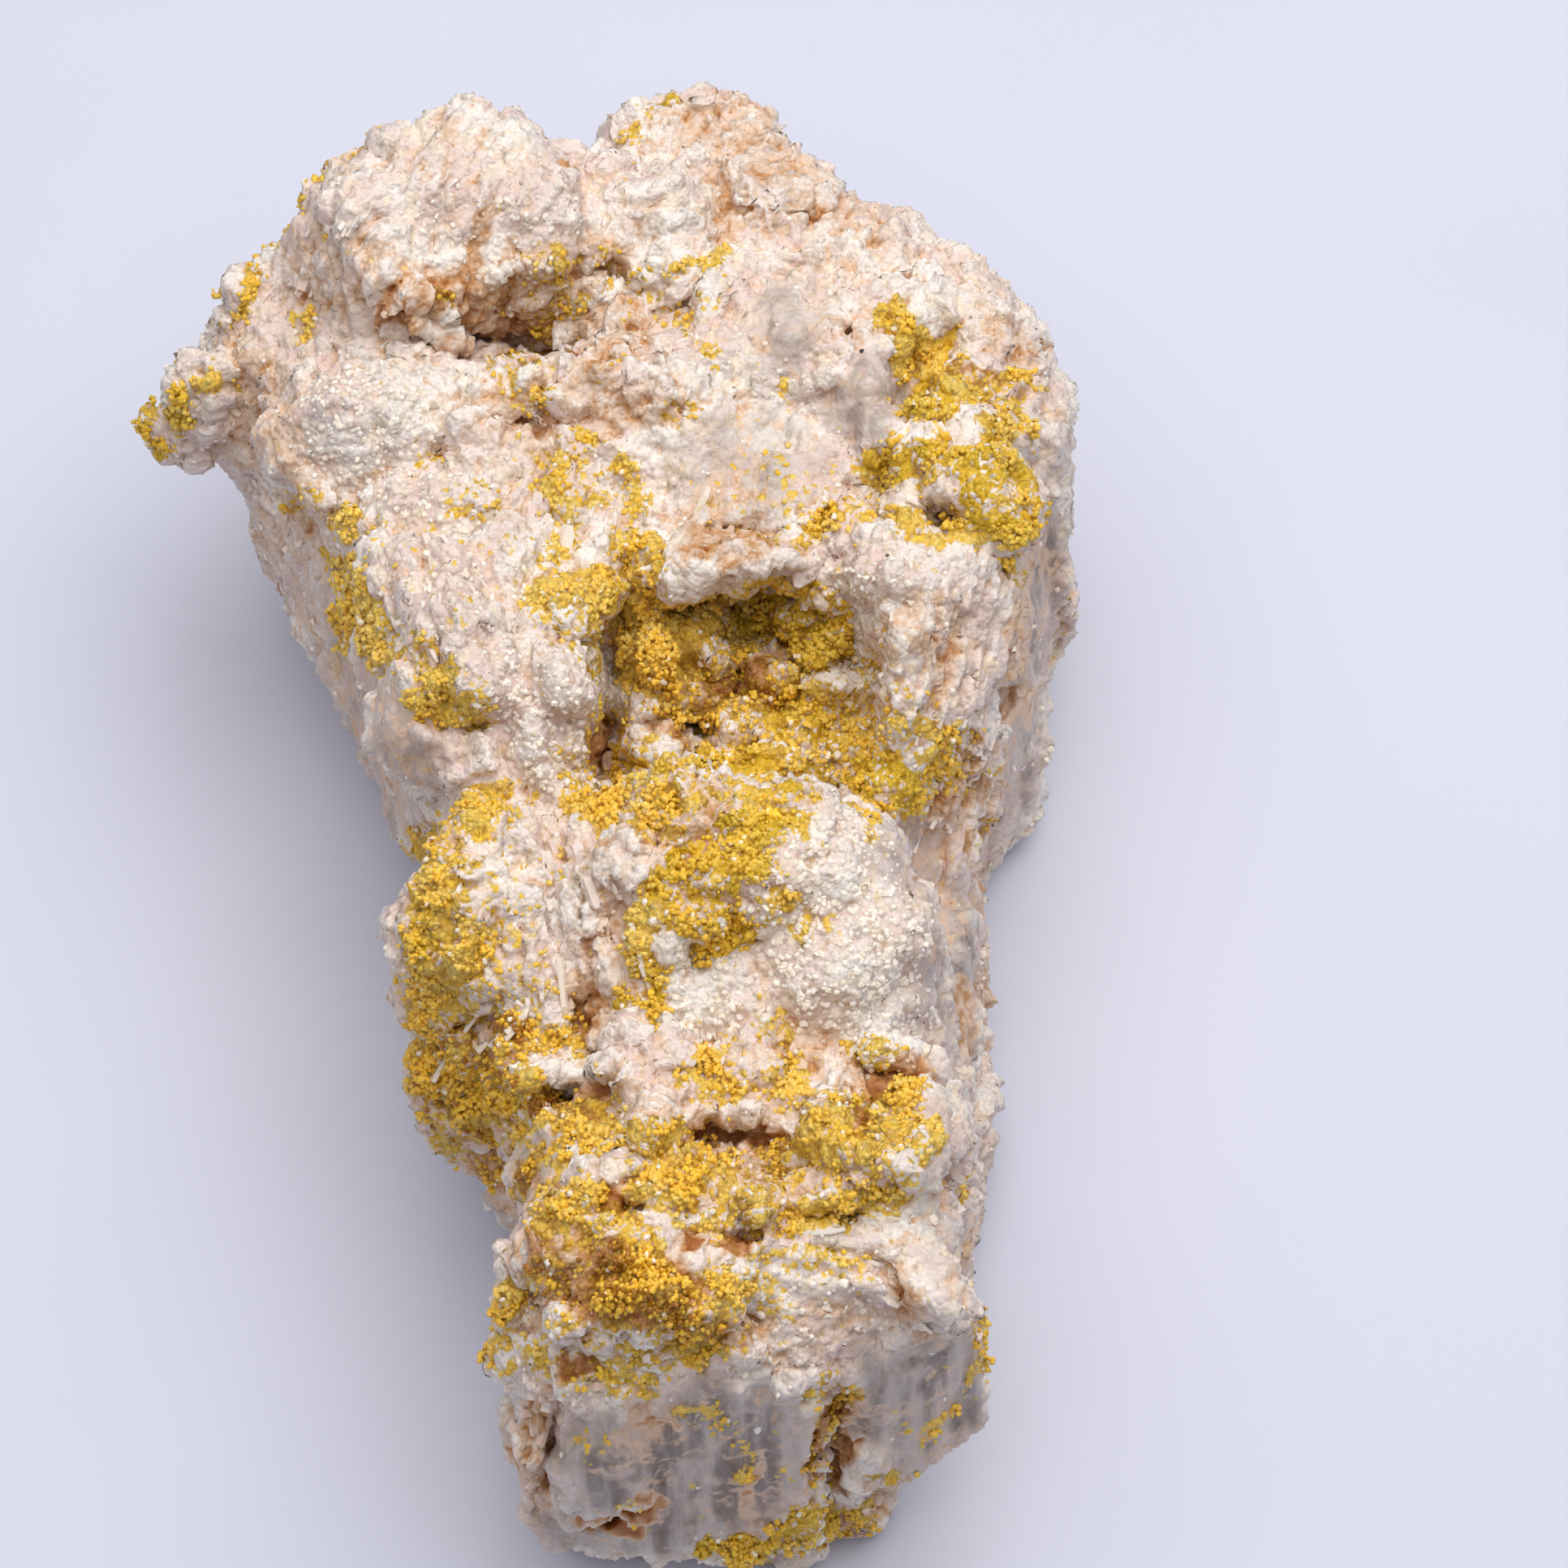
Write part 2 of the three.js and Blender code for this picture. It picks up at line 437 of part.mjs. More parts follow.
// A closed skin over a solid, seen from the line inside it: even facets, roughened by the crags.
function wrapped(manifold) {
  const surface = meshOf(manifold, PLAIN, "surface");
  const reach = ({ origin, direction }) => {
    const { point, distance } = spotOn(surface, origin, direction);
    const crag = CRAGS.reduce((sum, { size, cell }, i) => sum + size * noise(point, cell, i + 1), 0);
    return origin.clone().addScaledVector(direction, distance + crag);
  };
  const { first, grid, last } = rayRows();
  const points = [...grid.flat().map(reach), reach(first), reach(last)];
  const around = AXIS.around;
  const lastRow = (grid.length - 1) * around;
  const index = [];
  for (let i = 0; i < around; i++) {
    const next = (i + 1) % around;
    index.push(points.length - 2, i, next);
    index.push(points.length - 1, lastRow + next, lastRow + i);
    for (let row = 0; row < lastRow; row += around) {
      const [a, b, c, d] = [row + i, row + next, row + around + i, row + around + next];
      const shifted = (row / around) % 2 === 1;
      index.push(...(shifted ? [a, d, b, a, c, d] : [a, c, b, b, c, d]));
    }
  }
  const geometry = new THREE.BufferGeometry().setFromPoints(points);
  geometry.setIndex(index);
  return solid(geometry);
}

function massesSolid(grow) {
  return wasm.Manifold.union(MASSES.map((levels) => mass(levels, grow)));
}

const blocks = [...LUMPS, ...chunksOn(meshOf(massesSolid(0), PLAIN, "masses"), CHUNKS)];
const plates = BOOKS.flatMap(platesOf);

// The whole matrix. With grow, everything is larger by about that much, to cut a crust's underside clear.
function matrixSolid(grow = 0) {
  const lumps = wasm.Manifold.union(blocks.map((b) => block(b, grow)));
  const skin = wrapped(massesSolid(grow).add(lumps));
  const pits = wasm.Manifold.union([...HOLLOW, ...PITS].map((p) => block(p, -grow)));
  const hollow = wasm.Manifold.union(HOLLOW.map((p) => block(p, -grow)));
  const blades = wasm.Manifold.union(plates.map((p) => plate(p, grow))).subtract(hollow);
  const outcrops = wasm.Manifold.union(OUTCROPS.map((b) => block(b, grow)));
  return largest(skin.add(outcrops).subtract(pits).add(blades).subtract(below(-grow)));
}

// ---------------------------------------------------------------- the pyromorphite crusts

// A crust is grown by rays from a point over it, through an even spread of spots in an oval about its middle.
// half is the oval's half width and half height, across the rays and then up.
const CRUSTS = [
  { name: "crust_hollow", from: [-3, -6, 60], middle: [-2.6, 7.6, 21], half: [7.4, 6.4], count: 17 },
  { name: "crust_shoulder", from: [12, 6, 80], middle: [9.6, 20.6, 27], half: [3.2, 5.4], count: 11 },
  { name: "crust_ridge", from: [-4, -30, 70], middle: [-4.4, -6, 28.5], half: [5.6, 4.4], count: 10 },
  { name: "crust_left_flank", from: [-60, -20, 70], middle: [-17.6, -8.4, 23], half: [2.3, 5.2], count: 8 },
  { name: "crust_left_nook", from: [-34, -30, 80], middle: [-18.6, 5.2, 26.5], half: [2.7, 4.2], count: 7 },
  { name: "crust_near_top", from: [-10, -60, 80], middle: [-7.6, -29, 27.6], half: [5.6, 3.2], count: 10 },
  { name: "crust_neck", from: [14, -50, 70], middle: [5, -21.6, 27.6], half: [2.6, 2.8], count: 6 },
  { name: "crust_horn", from: [-70, 0, 55], middle: [-34.2, 30, 20.5], half: [1.8, 3], count: 4 },
];

// Where the rays of a crust meet the matrix, with the outward normals.
function spotsUnder(surface, { from, middle, half, count }, random) {
  const source = new THREE.Vector3(...from);
  const target = new THREE.Vector3(...middle);
  const direction = target.clone().sub(source).normalize();
  const across = new THREE.Vector3().crossVectors(direction, new THREE.Vector3(0, 0, 1)).normalize();
  const up = new THREE.Vector3().crossVectors(across, direction);
  return Array.from({ length: count }, (_, i) => {
    const radius = Math.sqrt((i + 0.5) / count) + 0.06 * (random() - 0.5);
    const through = target.clone();
    through.addScaledVector(across, half[0] * radius * Math.cos(GOLDEN_ANGLE * i));
    through.addScaledVector(up, half[1] * radius * Math.sin(GOLDEN_ANGLE * i));
    return spotOn(surface, source, through.sub(source).normalize());
  }).filter(Boolean);
}

// One stubby hexagonal crystal standing on a spot, leaning a little.
function knob({ point, normal }, random) {
  const radius = THREE.MathUtils.lerp(...KNOB.radius, random());
  const height = KNOB.height * THREE.MathUtils.lerp(0.8, 1.2, random());
  const axis = normal.clone().add(scatteredVector(random, KNOB.lean)).normalize();
  const turn = new THREE.Quaternion().setFromUnitVectors(new THREE.Vector3(0, 1, 0), axis);
  const at = point.clone().addScaledVector(normal, KNOB.lift);
  const place = new THREE.Matrix4().compose(at, turn, new THREE.Vector3(1, 1, 1));
  return solid(new THREE.CylinderGeometry(radius * KNOB.taper, radius, height, 6).applyMatrix4(place));
}

function crustSolid(crust, seed, surface, cutter) {
  const random = stream(seed);
  const knobs = spotsUnder(surface, crust, random).map((spot) => knob(spot, random));
  const whole = wasm.Manifold.union(knobs).subtract(cutter).subtract(below(CRUST_FLOOR));
  return largest(whole);
}

// ---------------------------------------------------------------- the specimen

const specimen = new THREE.Group();
const matrix = meshOf(matrixSolid(), BARYTE, "baryte_matrix");
specimen.add(matrix);
const cutter = matrixSolid(CRUST_GAP);
CRUSTS.forEach((crust, i) => {
  specimen.add(meshOf(crustSolid(crust, i + 1, matrix, cutter), PYROMORPHITE, crust.name));
});

const middle = new THREE.Box3().setFromObject(specimen, true).getCenter(new THREE.Vector3());
specimen.position.set(-middle.x, -middle.y, 0);

export default specimen;
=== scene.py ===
"""The looks of a pyromorphite specimen: a bladed baryte rock with crusts of small pyromorphite crystals.

Lengths are millimetres in the part's own frame until a mesh is made, which is in metres.
The camera stands where the photograph was taken from. Patches of each habit and stain are placed by where
they are in its picture, in pixels of a 1932 x 1932 frame. The sides that it doesn't see carry patches of
the same kinds, placed by noise.
"""

import math
from collections import namedtuple

import bpy
import numpy as np
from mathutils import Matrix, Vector
from mathutils.bvhtree import BVHTree


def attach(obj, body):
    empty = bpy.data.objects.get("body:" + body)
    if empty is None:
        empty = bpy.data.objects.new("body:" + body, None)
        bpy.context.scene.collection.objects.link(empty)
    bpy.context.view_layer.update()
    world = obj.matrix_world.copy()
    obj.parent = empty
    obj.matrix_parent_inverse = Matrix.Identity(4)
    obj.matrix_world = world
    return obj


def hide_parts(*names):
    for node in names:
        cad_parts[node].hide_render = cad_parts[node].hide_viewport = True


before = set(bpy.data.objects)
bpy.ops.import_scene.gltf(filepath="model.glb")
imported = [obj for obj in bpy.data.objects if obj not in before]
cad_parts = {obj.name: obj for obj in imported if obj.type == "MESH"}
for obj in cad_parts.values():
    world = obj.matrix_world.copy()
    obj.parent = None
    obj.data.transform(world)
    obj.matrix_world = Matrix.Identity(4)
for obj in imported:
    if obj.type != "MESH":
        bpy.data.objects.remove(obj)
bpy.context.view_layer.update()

MM = 0.001
SEED = 20

# ---------------------------------------------------------------- camera

FRAME_PX = 1932
FIELD_DEG = 14.0
LOOK_DOWN_DEG = 60.0
MM_PER_PX = 0.045
TARGET = np.array([10.016, -5.787, 27.0])
SENSOR = 36.0

HALF_PX = FRAME_PX / 2
FOCAL_PX = HALF_PX / math.tan(math.radians(FIELD_DEG / 2))
DISTANCE = FOCAL_PX * MM_PER_PX
tilt = math.radians(LOOK_DOWN_DEG)
LOOK = np.array([0.0, math.cos(tilt), -math.sin(tilt)])
UP = np.array([0.0, math.sin(tilt), math.cos(tilt)])
RIGHT = np.array([1.0, 0.0, 0.0])
EYE = TARGET - LOOK * DISTANCE


def make_camera():
    data = bpy.data.cameras.new("camera")
    data.sensor_width = SENSOR
    data.lens = SENSOR / 2 / math.tan(math.radians(FIELD_DEG / 2))
    data.clip_start = 0.01
    data.clip_end = 20.0
    camera = bpy.data.objects.new("camera", data)
    camera.location = Vector(EYE * MM)
    camera.rotation_euler = (math.pi / 2 - tilt, 0.0, 0.0)
    bpy.context.scene.collection.objects.link(camera)
    bpy.context.scene.camera = camera


def picture(points):
    """Where points fall in the camera's picture, in pixels right and down."""
    rel = points - EYE
    depth = rel @ LOOK
    return HALF_PX + FOCAL_PX * (rel @ RIGHT) / depth, HALF_PX - FOCAL_PX * (rel @ UP) / depth


def in_picture(degrees):
    """The direction that runs so many degrees from right towards up in the picture."""
    angle = math.radians(degrees)
    return math.cos(angle) * RIGHT + math.sin(angle) * UP


# ---------------------------------------------------------------- noise

# Large odd numbers that scatter neighbouring cells far apart.
SCATTER = (374761393, 668265263, 2147483629)
SCATTER_AGAIN = 1274126177


def lattice(cell, seed):
    """A number from 0 to 1 for each whole-numbered cell, always the same for the same cell."""
    h = cell[:, 0] * SCATTER[0] + cell[:, 1] * SCATTER[1] + cell[:, 2] * SCATTER[2] + seed * SCATTER_AGAIN
    h = (h ^ (h >> 13)) * SCATTER_AGAIN
    h = h ^ (h >> 16)
    return (h & 0xFFFFFF) / float(0xFFFFFF)


def noise(points, size, seed):
    """Smooth noise from -1 to 1 whose bumps are about one size apart."""
    q = points / size
    base = np.floor(q)
    f = q - base
    f = f * f * (3 - 2 * f)
    cell = base.astype(np.int64)
    total = np.zeros(len(points))
    for corner in np.ndindex(2, 2, 2):
        step = np.array(corner)
        weight = np.prod(np.where(step == 1, f, 1 - f), axis=1)
        total += weight * lattice(cell + step, seed)
    return total * 2 - 1


def fractal(points, size, seed, octaves=3):
    """Noise with ever smaller noise on it."""
    total = np.zeros(len(points))
    for k in range(octaves):
        total += noise(points, size / 2**k, seed + k) / 2**k
    return total / (2 - 2 / 2**octaves)


def cells(points, size, seed):
    """Distance to the nearest of scattered seed points, in sizes, and that seed point's place and number."""
    q = points / size
    base = np.floor(q).astype(np.int64)
    near = np.full(len(q), 9.0)
    centre = np.zeros_like(q)
    number = np.zeros(len(q))
    for offset in np.ndindex(3, 3, 3):
        cell = base + np.array(offset) - 1
        shift = np.stack([lattice(cell, seed + k) for k in (0, 1, 2)], axis=1)
        spot = cell + 0.05 + 0.9 * shift
        d = np.linalg.norm(q - spot, axis=1)
        closer = d < near
        near = np.where(closer, d, near)
        centre = np.where(closer[:, None], spot, centre)
        number = np.where(closer, shift[:, 0] * 0.37 + shift[:, 1] * 0.63, number)
    return near, centre * size, number


def tilts(number):
    """A unit vector for each number from 0 to 1, spread over all directions."""
    z = 2 * np.mod(number * 7.31, 1) - 1
    turn = 2 * np.pi * np.mod(number * 53.7, 1)
    flat = np.sqrt(1 - z * z)
    return np.stack([flat * np.cos(turn), flat * np.sin(turn), z], axis=1)


def facets(points, size, seed):
    """Height, about -0.6 to 0.6, of a surface broken into flat tilted faces."""
    _, centre, number = cells(points, size, seed)
    slope = np.sum((points - centre) * tilts(number), axis=1) / size
    step = np.mod(number * 91.7, 1) - 0.5
    return slope * 0.8 + step * 0.6


def domes(points, size, seed):
    """Height, about -0.5 to 0.8, of a surface of rounded lumps that meet in creases."""
    near, _, number = cells(points, size, seed)
    return (0.55 - near * near) * (0.6 + 0.8 * np.mod(number * 37.1, 1))


def stretched(points, along, times):
    """Points squeezed along a direction, so that what is drawn on them comes out that many times longer."""
    along = along / np.linalg.norm(along)
    return points - np.outer(points @ along, along) * (1 - 1 / times)


def smoothstep(low, high, x):
    t = np.clip((x - low) / (high - low), 0, 1)
    return t * t * (3 - 2 * t)


# ---------------------------------------------------------------- patches in the picture

# An oval: its middle, its half width and half height, and its turn in degrees clockwise. Each list below
# gives its patches by how much they put where they are.
Patch = namedtuple("Patch", "u v wide tall turn", defaults=(0,))


def cover(u, v, kind, core=0.65, rim=1.3):
    """The most that the patches of a kind, listed by their amount, give a picture point.

    A patch gives its whole amount inside its core and none outside its rim."""
    most = np.zeros(len(u))
    for amount, patches in kind.items():
        for p in patches:
            c = math.cos(math.radians(p.turn))
            s = math.sin(math.radians(p.turn))
            a = (c * (u - p.u) + s * (v - p.v)) / p.wide
            b = (c * (v - p.v) - s * (u - p.u)) / p.tall
            most = np.maximum(most, amount * (1 - smoothstep(core, rim, np.hypot(a, b))))
    return most


# Pyromorphite: bright mustard crust, and the darker olive crust of the hollows and ridges.
MUSTARD = {
    1.0: [Patch(u=1140, v=440, wide=38, tall=50, turn=-20)],
    0.95: [
        Patch(u=560, v=868, wide=58, tall=46, turn=25), Patch(u=800, v=805, wide=58, tall=50),
        Patch(u=1090, v=1400, wide=56, tall=50),
    ],
    0.9: [
        Patch(u=430, v=698, wide=18, tall=14), Patch(u=1108, v=412, wide=22, tall=22),
    ],
    0.85: [
        Patch(u=860, v=742, wide=110, tall=20, turn=-8), Patch(u=548, v=1080, wide=40, tall=80),
        Patch(u=545, v=1190, wide=40, tall=60), Patch(u=830, v=1440, wide=60, tall=50, turn=20),
    ],
    0.8: [
        Patch(u=1162, v=398, wide=20, tall=8), Patch(u=800, v=705, wide=40, tall=34),
        Patch(u=1070, v=1005, wide=16, tall=40, turn=-20), Patch(u=960, v=1020, wide=30, tall=20),
        Patch(u=625, v=1610, wide=14, tall=70), Patch(u=700, v=1385, wide=66, tall=24),
    ],
    0.78: [Patch(u=730, v=1510, wide=80, tall=44, turn=10)],
    0.75: [
        Patch(u=450, v=760, wide=24, tall=50, turn=-15), Patch(u=1010, v=672, wide=50, tall=16, turn=-15),
        Patch(u=805, v=1150, wide=24, tall=60), Patch(u=790, v=1580, wide=60, tall=56, turn=20),
    ],
    0.7: [
        Patch(u=1238, v=530, wide=18, tall=30), Patch(u=1245, v=700, wide=14, tall=22),
        Patch(u=860, v=850, wide=60, tall=30, turn=20), Patch(u=560, v=1330, wide=50, tall=50, turn=30),
        Patch(u=1015, v=1850, wide=26, tall=26), Patch(u=1150, v=1755, wide=40, tall=18, turn=-35),
        Patch(u=1110, v=1818, wide=50, tall=8, turn=5), Patch(u=1060, v=1850, wide=30, tall=12, turn=-30),
        Patch(u=600, v=1345, wide=80, tall=46, turn=20),
    ],
    0.65: [
        Patch(u=705, v=730, wide=52, tall=40), Patch(u=850, v=985, wide=110, tall=30),
        Patch(u=600, v=1005, wide=60, tall=26), Patch(u=990, v=1140, wide=50, tall=26, turn=10),
        Patch(u=700, v=1370, wide=70, tall=24, turn=-10), Patch(u=930, v=1465, wide=90, tall=22, turn=-5),
    ],
    0.6: [
        Patch(u=640, v=432, wide=30, tall=12), Patch(u=490, v=800, wide=26, tall=30, turn=-25),
        Patch(u=545, v=820, wide=24, tall=40, turn=-10), Patch(u=1200, v=480, wide=60, tall=16),
        Patch(u=1150, v=650, wide=70, tall=26), Patch(u=700, v=950, wide=30, tall=50, turn=-20),
        Patch(u=690, v=1285, wide=30, tall=26), Patch(u=572, v=1485, wide=16, tall=20),
        Patch(u=1030, v=1410, wide=46, tall=46), Patch(u=1095, v=1470, wide=50, tall=34, turn=-20),
        Patch(u=1148, v=1400, wide=12, tall=30), Patch(u=770, v=1420, wide=50, tall=24),
        Patch(u=1020, v=1720, wide=34, tall=40), Patch(u=620, v=1000, wide=44, tall=22),
        Patch(u=640, v=1300, wide=50, tall=26), Patch(u=1000, v=1440, wide=60, tall=30),
        Patch(u=940, v=1500, wide=110, tall=16, turn=-4), Patch(u=860, v=780, wide=90, tall=60),
        Patch(u=700, v=1440, wide=40, tall=24),
    ],
    0.55: [
        Patch(u=253, v=472, wide=26, tall=14), Patch(u=868, v=314, wide=26, tall=12),
    ],
    0.5: [
        Patch(u=300, v=495, wide=10, tall=22), Patch(u=380, v=418, wide=9, tall=20),
        Patch(u=690, v=385, wide=45, tall=15), Patch(u=530, v=385, wide=12, tall=8),
        Patch(u=450, v=640, wide=22, tall=24), Patch(u=1070, v=600, wide=22, tall=46),
        Patch(u=770, v=890, wide=50, tall=26), Patch(u=740, v=1000, wide=60, tall=26),
        Patch(u=640, v=1270, wide=34, tall=22), Patch(u=960, v=1330, wide=40, tall=40),
        Patch(u=1060, v=1300, wide=26, tall=20), Patch(u=980, v=1500, wide=90, tall=16, turn=-8),
        Patch(u=900, v=1590, wide=70, tall=46), Patch(u=840, v=1650, wide=80, tall=36),
        Patch(u=760, v=1690, wide=60, tall=26, turn=10), Patch(u=665, v=1670, wide=24, tall=40, turn=-20),
        Patch(u=900, v=1600, wide=60, tall=40), Patch(u=560, v=1230, wide=60, tall=80),
    ],
    0.45: [
        Patch(u=288, v=365, wide=16, tall=30, turn=20), Patch(u=835, v=510, wide=26, tall=22),
        Patch(u=700, v=650, wide=24, tall=60, turn=15), Patch(u=1080, v=860, wide=60, tall=70),
        Patch(u=1140, v=930, wide=50, tall=60, turn=20), Patch(u=880, v=1330, wide=60, tall=40),
        Patch(u=700, v=1655, wide=40, tall=20), Patch(u=860, v=1745, wide=40, tall=12),
        Patch(u=560, v=1420, wide=46, tall=46), Patch(u=930, v=880, wide=90, tall=60),
        Patch(u=990, v=1450, wide=70, tall=30), Patch(u=980, v=1540, wide=70, tall=16, turn=8),
    ],
    0.42: [
        Patch(u=765, v=640, wide=22, tall=60), Patch(u=760, v=1600, wide=110, tall=80),
    ],
    0.4: [
        Patch(u=775, v=165, wide=22, tall=14), Patch(u=760, v=447, wide=26, tall=12),
        Patch(u=885, v=425, wide=20, tall=25), Patch(u=965, v=480, wide=10, tall=25),
        Patch(u=540, v=560, wide=26, tall=16), Patch(u=385, v=620, wide=40, tall=26),
        Patch(u=600, v=1410, wide=60, tall=60, turn=40), Patch(u=960, v=1550, wide=70, tall=30, turn=10),
        Patch(u=1050, v=880, wide=70, tall=60), Patch(u=600, v=1450, wide=60, tall=50),
        Patch(u=700, v=760, wide=44, tall=40), Patch(u=800, v=1020, wide=60, tall=40),
    ],
    0.35: [
        Patch(u=640, v=480, wide=50, tall=40), Patch(u=690, v=560, wide=50, tall=25),
        Patch(u=600, v=1150, wide=30, tall=50), Patch(u=930, v=1640, wide=46, tall=30),
        Patch(u=905, v=1790, wide=12, tall=44), Patch(u=960, v=1815, wide=14, tall=14),
        Patch(u=1195, v=1680, wide=14, tall=40), Patch(u=870, v=800, wide=90, tall=60),
    ],
    0.3: [
        Patch(u=700, v=350, wide=75, tall=50), Patch(u=735, v=800, wide=40, tall=24),
        Patch(u=940, v=1270, wide=60, tall=30), Patch(u=1000, v=1560, wide=80, tall=30),
    ],
    0.25: [
        Patch(u=830, v=360, wide=60, tall=60), Patch(u=600, v=640, wide=40, tall=30),
        Patch(u=880, v=1280, wide=60, tall=40),
    ],
    0.22: [Patch(u=680, v=620, wide=60, tall=60)],
    0.2: [
        Patch(u=660, v=1070, wide=60, tall=60), Patch(u=740, v=1780, wide=34, tall=30),
        Patch(u=960, v=620, wide=120, tall=60), Patch(u=640, v=1190, wide=60, tall=70),
    ],
    0.15: [Patch(u=560, v=700, wide=120, tall=80)],
}
OLIVE = {
    1.0: [
        Patch(u=1150, v=505, wide=44, tall=24), Patch(u=1005, v=775, wide=60, tall=56),
        Patch(u=990, v=1885, wide=56, tall=20, turn=-25), Patch(u=1020, v=790, wide=46, tall=50, turn=10),
    ],
    0.95: [
        Patch(u=208, v=510, wide=14, tall=46), Patch(u=802, v=128, wide=32, tall=20),
        Patch(u=930, v=1050, wide=70, tall=50, turn=-20), Patch(u=945, v=748, wide=75, tall=18, turn=-3),
    ],
    0.9: [
        Patch(u=1220, v=590, wide=56, tall=50, turn=-20), Patch(u=1250, v=640, wide=26, tall=22),
        Patch(u=950, v=945, wide=90, tall=26, turn=5), Patch(u=860, v=1100, wide=56, tall=56, turn=-20),
        Patch(u=920, v=1915, wide=70, tall=14, turn=-15),
    ],
    0.85: [Patch(u=820, v=935, wide=60, tall=24)],
    0.8: [
        Patch(u=930, v=760, wide=50, tall=36), Patch(u=900, v=1150, wide=46, tall=30),
        Patch(u=900, v=940, wide=100, tall=22, turn=4),
    ],
    0.7: [
        Patch(u=1130, v=565, wide=60, tall=30), Patch(u=800, v=1240, wide=16, tall=60),
    ],
    0.6: [
        Patch(u=1000, v=900, wide=80, tall=50), Patch(u=1080, v=960, wide=46, tall=40),
    ],
    0.5: [
        Patch(u=540, v=1140, wide=26, tall=50), Patch(u=590, v=1370, wide=34, tall=30),
        Patch(u=1000, v=1800, wide=16, tall=60),
    ],
}
# Pale crystals that stand bare among the crusts.
BARE = {
    1.0: [
        Patch(u=663, v=1602, wide=30, tall=20), Patch(u=757, v=1438, wide=46, tall=16, turn=-15),
        Patch(u=794, v=1376, wide=26, tall=36), Patch(u=740, v=1408, wide=34, tall=16, turn=-20),
        Patch(u=1024, v=1600, wide=90, tall=46, turn=22), Patch(u=939, v=1655, wide=70, tall=24, turn=-8),
        Patch(u=860, v=1690, wide=60, tall=16, turn=-8), Patch(u=925, v=1305, wide=36, tall=28, turn=-40),
        Patch(u=1010, v=1320, wide=30, tall=22), Patch(u=650, v=1318, wide=70, tall=13, turn=-12),
        Patch(u=1000, v=1455, wide=40, tall=14, turn=8), Patch(u=780, v=1512, wide=22, tall=12, turn=30),
        Patch(u=700, v=1690, wide=40, tall=12, turn=30), Patch(u=905, v=1560, wide=26, tall=12, turn=30),
        Patch(u=850, v=1480, wide=50, tall=9, turn=6), Patch(u=1050, v=856, wide=36, tall=24, turn=10),
        Patch(u=1020, v=925, wide=46, tall=18, turn=20), Patch(u=690, v=820, wide=60, tall=44),
        Patch(u=905, v=704, wide=90, tall=14, turn=-3), Patch(u=1110, v=716, wide=70, tall=26, turn=8),
        Patch(u=850, v=968, wide=60, tall=14, turn=4), Patch(u=1010, v=1060, wide=70, tall=60, turn=-20),
        Patch(u=640, v=1080, wide=60, tall=90, turn=-8), Patch(u=740, v=905, wide=24, tall=50),
        Patch(u=835, v=1545, wide=30, tall=14, turn=20), Patch(u=722, v=1602, wide=16, tall=28, turn=-10),
        Patch(u=905, v=1622, wide=46, tall=12, turn=-30), Patch(u=800, v=1648, wide=24, tall=10, turn=15),
        Patch(u=870, v=1420, wide=20, tall=30, turn=30), Patch(u=1020, v=1385, wide=24, tall=16, turn=20),
        Patch(u=690, v=1470, wide=24, tall=14, turn=-20), Patch(u=912, v=1412, wide=54, tall=22, turn=14),
        Patch(u=1078, v=1344, wide=34, tall=26, turn=-10), Patch(u=750, v=930, wide=30, tall=40, turn=8),
        Patch(u=775, v=1555, wide=26, tall=12, turn=-30), Patch(u=840, v=1600, wide=22, tall=14, turn=40),
        Patch(u=700, v=1545, wide=14, tall=22, turn=10),
    ],
}
